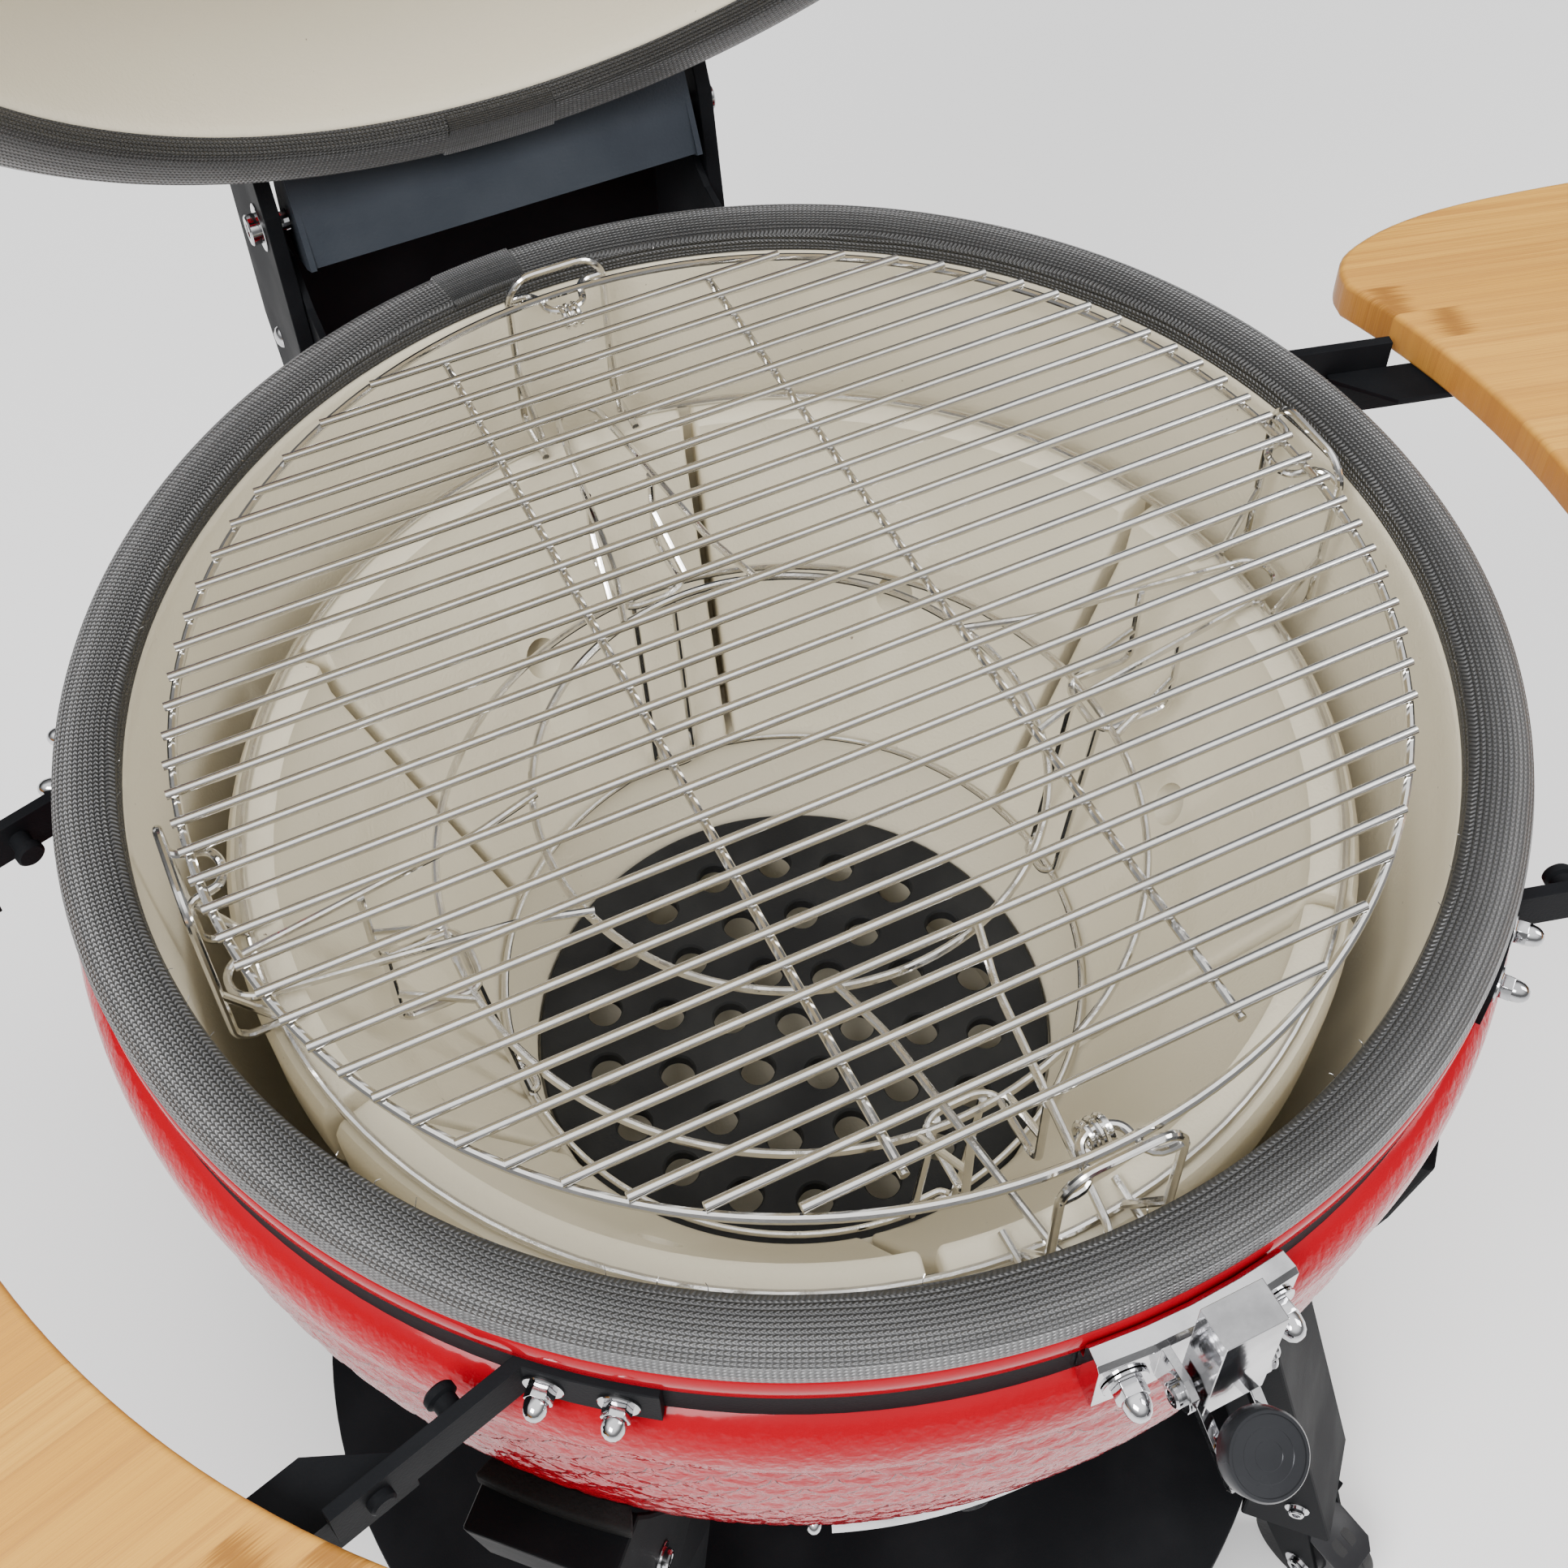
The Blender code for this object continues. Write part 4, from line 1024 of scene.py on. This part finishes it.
def board_outline():
    """Shelf seen from above in (outward, sideways): an inner arc, two round corners and a bowed front."""
    inner = arc(378, -31, 31, 40)
    corner = [(325, 207), (335, 221), (364, 236), (407, 246), (476, 251.5), (530, 252), (558, 247)]
    corner = [tuple(point) for point in flowing([inner[-1], *corner, (571, 232), (574, 215)], 4)][1:-1]
    edge = [(592 - 18.0 * (v / 215.0) ** 2, v) for v in range(215, -216, -15)]
    return inner + corner + edge + [(u, -v) for u, v in reversed(corner)]


def build_shelves():
    for word, side in (("left", -1), ("right", 1)):
        place = shelf_matrix(side)
        board = moved(prism(board_outline(), -35, -13), place)
        look = f"bamboo_{word}"
        piece(f"{word}_shelf_wood", eased(board, 3.2, 4), look, f"{word}_shelf", [f"{word}_shelf_board"])
        nuts = []
        pins = []
        for end in (-1, 1):
            for angle in (math.radians(33.2), math.radians(38.2)):
                out = Vector((math.cos(angle), end * math.sin(angle), 0))
                nuts.append(acorn(out * BAND_OUT + Vector((0, 0, -31)), out))
            peg = lathe([(0, 0), (4.5, 0), (4.5, 7), (6, 8), (6, 10.5), (5, 11.5), (0, 11.5)], 24)
            pins.append(aimed(peg, (284, end * 156.3, -31), (0, -end, 0)))
            rivet = lathe([(0, 0), (5, 0), (5, 3), (4, 4), (0, 4)], 24)
            pins.append(aimed(rivet, (318, end * 161.3, -31), (0, end, 0)))
        piece(f"{word}_shelf_nuts", moved(merged(nuts), place), "chrome", "base")
        piece(f"{word}_shelf_pegs", moved(merged(pins), place), "powder", "base")
        screws = []
        for end in (-1, 1):
            for u in (400, 470, 540):
                screws.append(socket_bolt((u, end * 141, -38.4), (0, 0, -1), 4.0, 3.0))
        piece(f"{word}_shelf_screws", moved(merged(screws), place), "chrome", f"{word}_shelf")


# Lid furniture


def build_handle():
    half = [(0, -110), (12.5, -110), (14.4, -108.6), (15, -106)]
    bar = aimed(lathe(both_ends(half), 48), (0, -352, 98), (1, 0, 0))
    piece("lid_handle_wood", bar, "bamboo_bar", "lid", ["lid_handle_bar"])
    post = [
        (0, 0), (13.2, 0), (14, 0.8), (14, 3.4), (12.8, 4.6), (9.2, 6), (8, 8.5), (8, 30), (9.5, 34),
        (10, 36.4), (0, 36.4),
    ]
    for word, side in (("left", -1), ("right", 1)):
        shape = aimed(lathe(post, 40), (side * 75, -300.3, 98), (0, -1, 0))
        piece(f"lid_handle_{word}_post", shape, "powder", "lid", [f"lid_handle_post_{word}"])
    bolts = [socket_bolt((side * 75, -366.5, 98), (0, -1, 0), 5.0, 3.0) for side in (-1, 1)]
    piece("lid_handle_bolts", merged(bolts), "chrome", "lid")


def build_gauge():
    centre = Vector((0, -radius_at(DOME_SIDE, 190), 190)) + GAUGE_AXIS * 0.6
    case = [
        (0, 0), (28.5, 0), (30, 1.2), (30, 11.5), (29.4, 13.2), (28, 14), (26.6, 13.6), (26, 12.4), (26, 5),
        (0, 5),
    ]
    rim = aimed(lathe(case, 96), centre, GAUGE_AXIS)
    piece("thermometer_rim", rim, "chrome", "lid", ["thermometer_case"])
    plate = lathe([(0, 5.1), (25.8, 5.1), (25.8, 5.9), (0, 5.9)], 72)
    piece("thermometer_dial", aimed(plate, centre, GAUGE_AXIS), "dial", "lid")
    ticks = [aimed(lathe([(0, 5.9), (2.2, 5.9), (2.2, 6.2), (0, 6.2)], 20), centre, GAUGE_AXIS)]
    for k in range(28):
        inner = 19.5 if k % 3 == 0 else 21.5
        mark = box((inner, 24), (-0.3, 0.3), (5.9, 6.2))
        ticks.append(aimed(moved(mark, turn(k * 10.0 - 135)), centre, GAUGE_AXIS))
    piece("thermometer_ticks", merged(ticks), "plastic", "lid")
    glass = lathe([(0, 11.2), (25.6, 11.2), (25.6, 12.2), (0, 13.0)], 72)
    piece("thermometer_glass", aimed(glass, centre, GAUGE_AXIS), "glass", "lid")


def build_vent():
    base = [
        (48, 300.3), (82.5, 300.3), (84, 301.5), (84, 303.6), (82.5, 305.2), (79, 309.5), (77.2, 311.4),
        (75.5, 312), (48, 312),
    ]
    piece("vent_base_iron", lathe(base, 120), "iron", "lid", ["vent_base"])
    cap = [
        (0, 341), (30, 340.6), (56, 339), (68, 334), (75, 328), (75, 312.6), (79, 312.6), (80, 314),
        (79, 316), (79, 330), (76.5, 334.5), (70, 339), (60, 343), (30, 344.6), (0, 345),
    ]
    bm = lathe(cap, 144)
    for vert in bm.verts:
        azimuth = math.atan2(vert.co.x, -vert.co.y)
        radius = math.hypot(vert.co.x, vert.co.y)
        if radius > 70 and 317 < vert.co.z < 340:
            swell = 1 - 0.016 * (0.5 + 0.5 * math.cos(12 * azimuth)) ** 3
            vert.co.x *= swell
            vert.co.y *= swell
    piece("vent_cap_iron", bm, "iron", "vent_cap", ["vent_cap"])


# CAD nodes that stay on show

KEPT = {
    "draft_frame": "powder", "draft_door": "powder", "draft_knob": "plastic", "latch_bracket": "chrome",
    "latch_lever": "chrome", "latch_keeper": "chrome", "hinge_bracket": "powder", "hinge_cheek_left": "powder",
    "hinge_cheek_right": "powder", "hinge_pin": "chrome", "lid_hinge_bracket": "slate",
    "thermometer_needle": "plastic",
    **{f"leg_{corner}": "powder" for corner in CORNERS},
    **{f"caster_fork_{corner}": "powder" for corner in CORNERS},
    **{f"{side}_shelf_{part}_{end}": "powder"
       for side in ("left", "right") for part in ("rail", "arm") for end in ("front", "back")},
}
EDGE_WIDTH = {"leg": 2.0, "hinge": 0.9, "latch": 0.8, "lid": 0.7}


def dress_kept_nodes():
    for name, look in KEPT.items():
        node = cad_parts[name]
        node.data.materials.clear()
        node.data.materials.append(LOOKS[look])
        weld = node.modifiers.new("weld", "WELD")
        weld.merge_threshold = 0.00001
        edge = node.modifiers.new("edge", "BEVEL")
        edge.width = EDGE_WIDTH.get(name.split("_")[0], 0.5) * MM
        edge.segments = 2
        edge.limit_method = "ANGLE"
        edge.angle_limit = math.radians(38)


# Light, floor and camera

FLOOR_REACH = 20000.0
FLOOR_TOP = -0.6


def build_stage():
    made, tree, shader = start_look("pale_floor", (0.86, 0.86, 0.855), 0.7)
    tone = mixed(tree, noise(tree, anywhere(tree), 2.0), (0.93, 0.93, 0.93), (0.92, 0.92, 0.92))
    tree.links.new(tone, shader.inputs["Base Color"])
    bm = box((-FLOOR_REACH, FLOOR_REACH), (-FLOOR_REACH, FLOOR_REACH), (-12, FLOOR_TOP))
    mesh = bpy.data.meshes.new("floor")
    bm.to_mesh(mesh)
    bm.free()
    mesh.transform(Matrix.Scale(MM, 4))
    mesh.materials.append(made)
    placed("floor", mesh)
    world = bpy.data.worlds.new("studio")
    world.use_nodes = True
    sky = world.node_tree
    split = sky.nodes.new("ShaderNodeSeparateXYZ")
    sky.links.new(sky.nodes.new("ShaderNodeTexCoord").outputs["Generated"], split.inputs[0])
    height = between(sky, split.outputs[2], 0.25, 0.85, 0.30, 2.0)
    glow = op(sky, "MULTIPLY", height, between(sky, split.outputs[1], 0.2, 0.65, 1.0, 0.25))
    sky.links.new(glow, sky.nodes["Background"].inputs["Strength"])
    sky.nodes["Background"].inputs["Color"].default_value = (1.0, 1.0, 1.0, 1.0)
    bpy.context.scene.world = world


def add_light(name, centre, target, size, watts):
    data = bpy.data.lights.new(name, "AREA")
    data.shape = "RECTANGLE"
    data.size, data.size_y = size
    data.energy = watts
    light = placed(name, data)
    light.location = centre
    light.rotation_euler = (Vector(target) - Vector(centre)).to_track_quat("-Z", "Y").to_euler()


LENS_MM = 47.68
SHIFT = (0.0126, -0.116)
CAMERA_PLACE = (-0.23985, -0.56376, 1.44316)


def build_camera():
    data = bpy.data.cameras.new("camera")
    data.lens = LENS_MM
    data.sensor_width = 36.0
    data.shift_x, data.shift_y = SHIFT
    camera = placed("camera", data)
    ahead = Vector((0.274, 0.6036, -0.7488)).normalized()
    right = Vector((0.910, -0.413, -0.043))
    right = (right - ahead * right.dot(ahead)).normalized()
    up = right.cross(ahead)
    turned = Matrix((right, up, -ahead)).transposed().to_4x4()
    camera.matrix_world = Matrix.Translation(CAMERA_PLACE) @ turned
    bpy.context.scene.camera = camera


def main():
    build_shell()
    build_gaskets()
    build_firebox()
    build_coal_grate()
    build_cooking_grate()
    build_rack()
    build_latch()
    build_draft()
    build_hinge()
    build_lower_shelf()
    build_leg_trim()
    build_casters()
    build_shelves()
    build_handle()
    build_gauge()
    build_vent()
    dress_kept_nodes()
    build_stage()
    add_light("key", (-1.6, -1.2, 2.9), (0, 0, 0.7), (1.5, 1.1), 110)
    add_light("fill", (1.9, -0.9, 2.2), (0, 0, 0.7), (1.0, 1.4), 45)
    build_camera()


main()
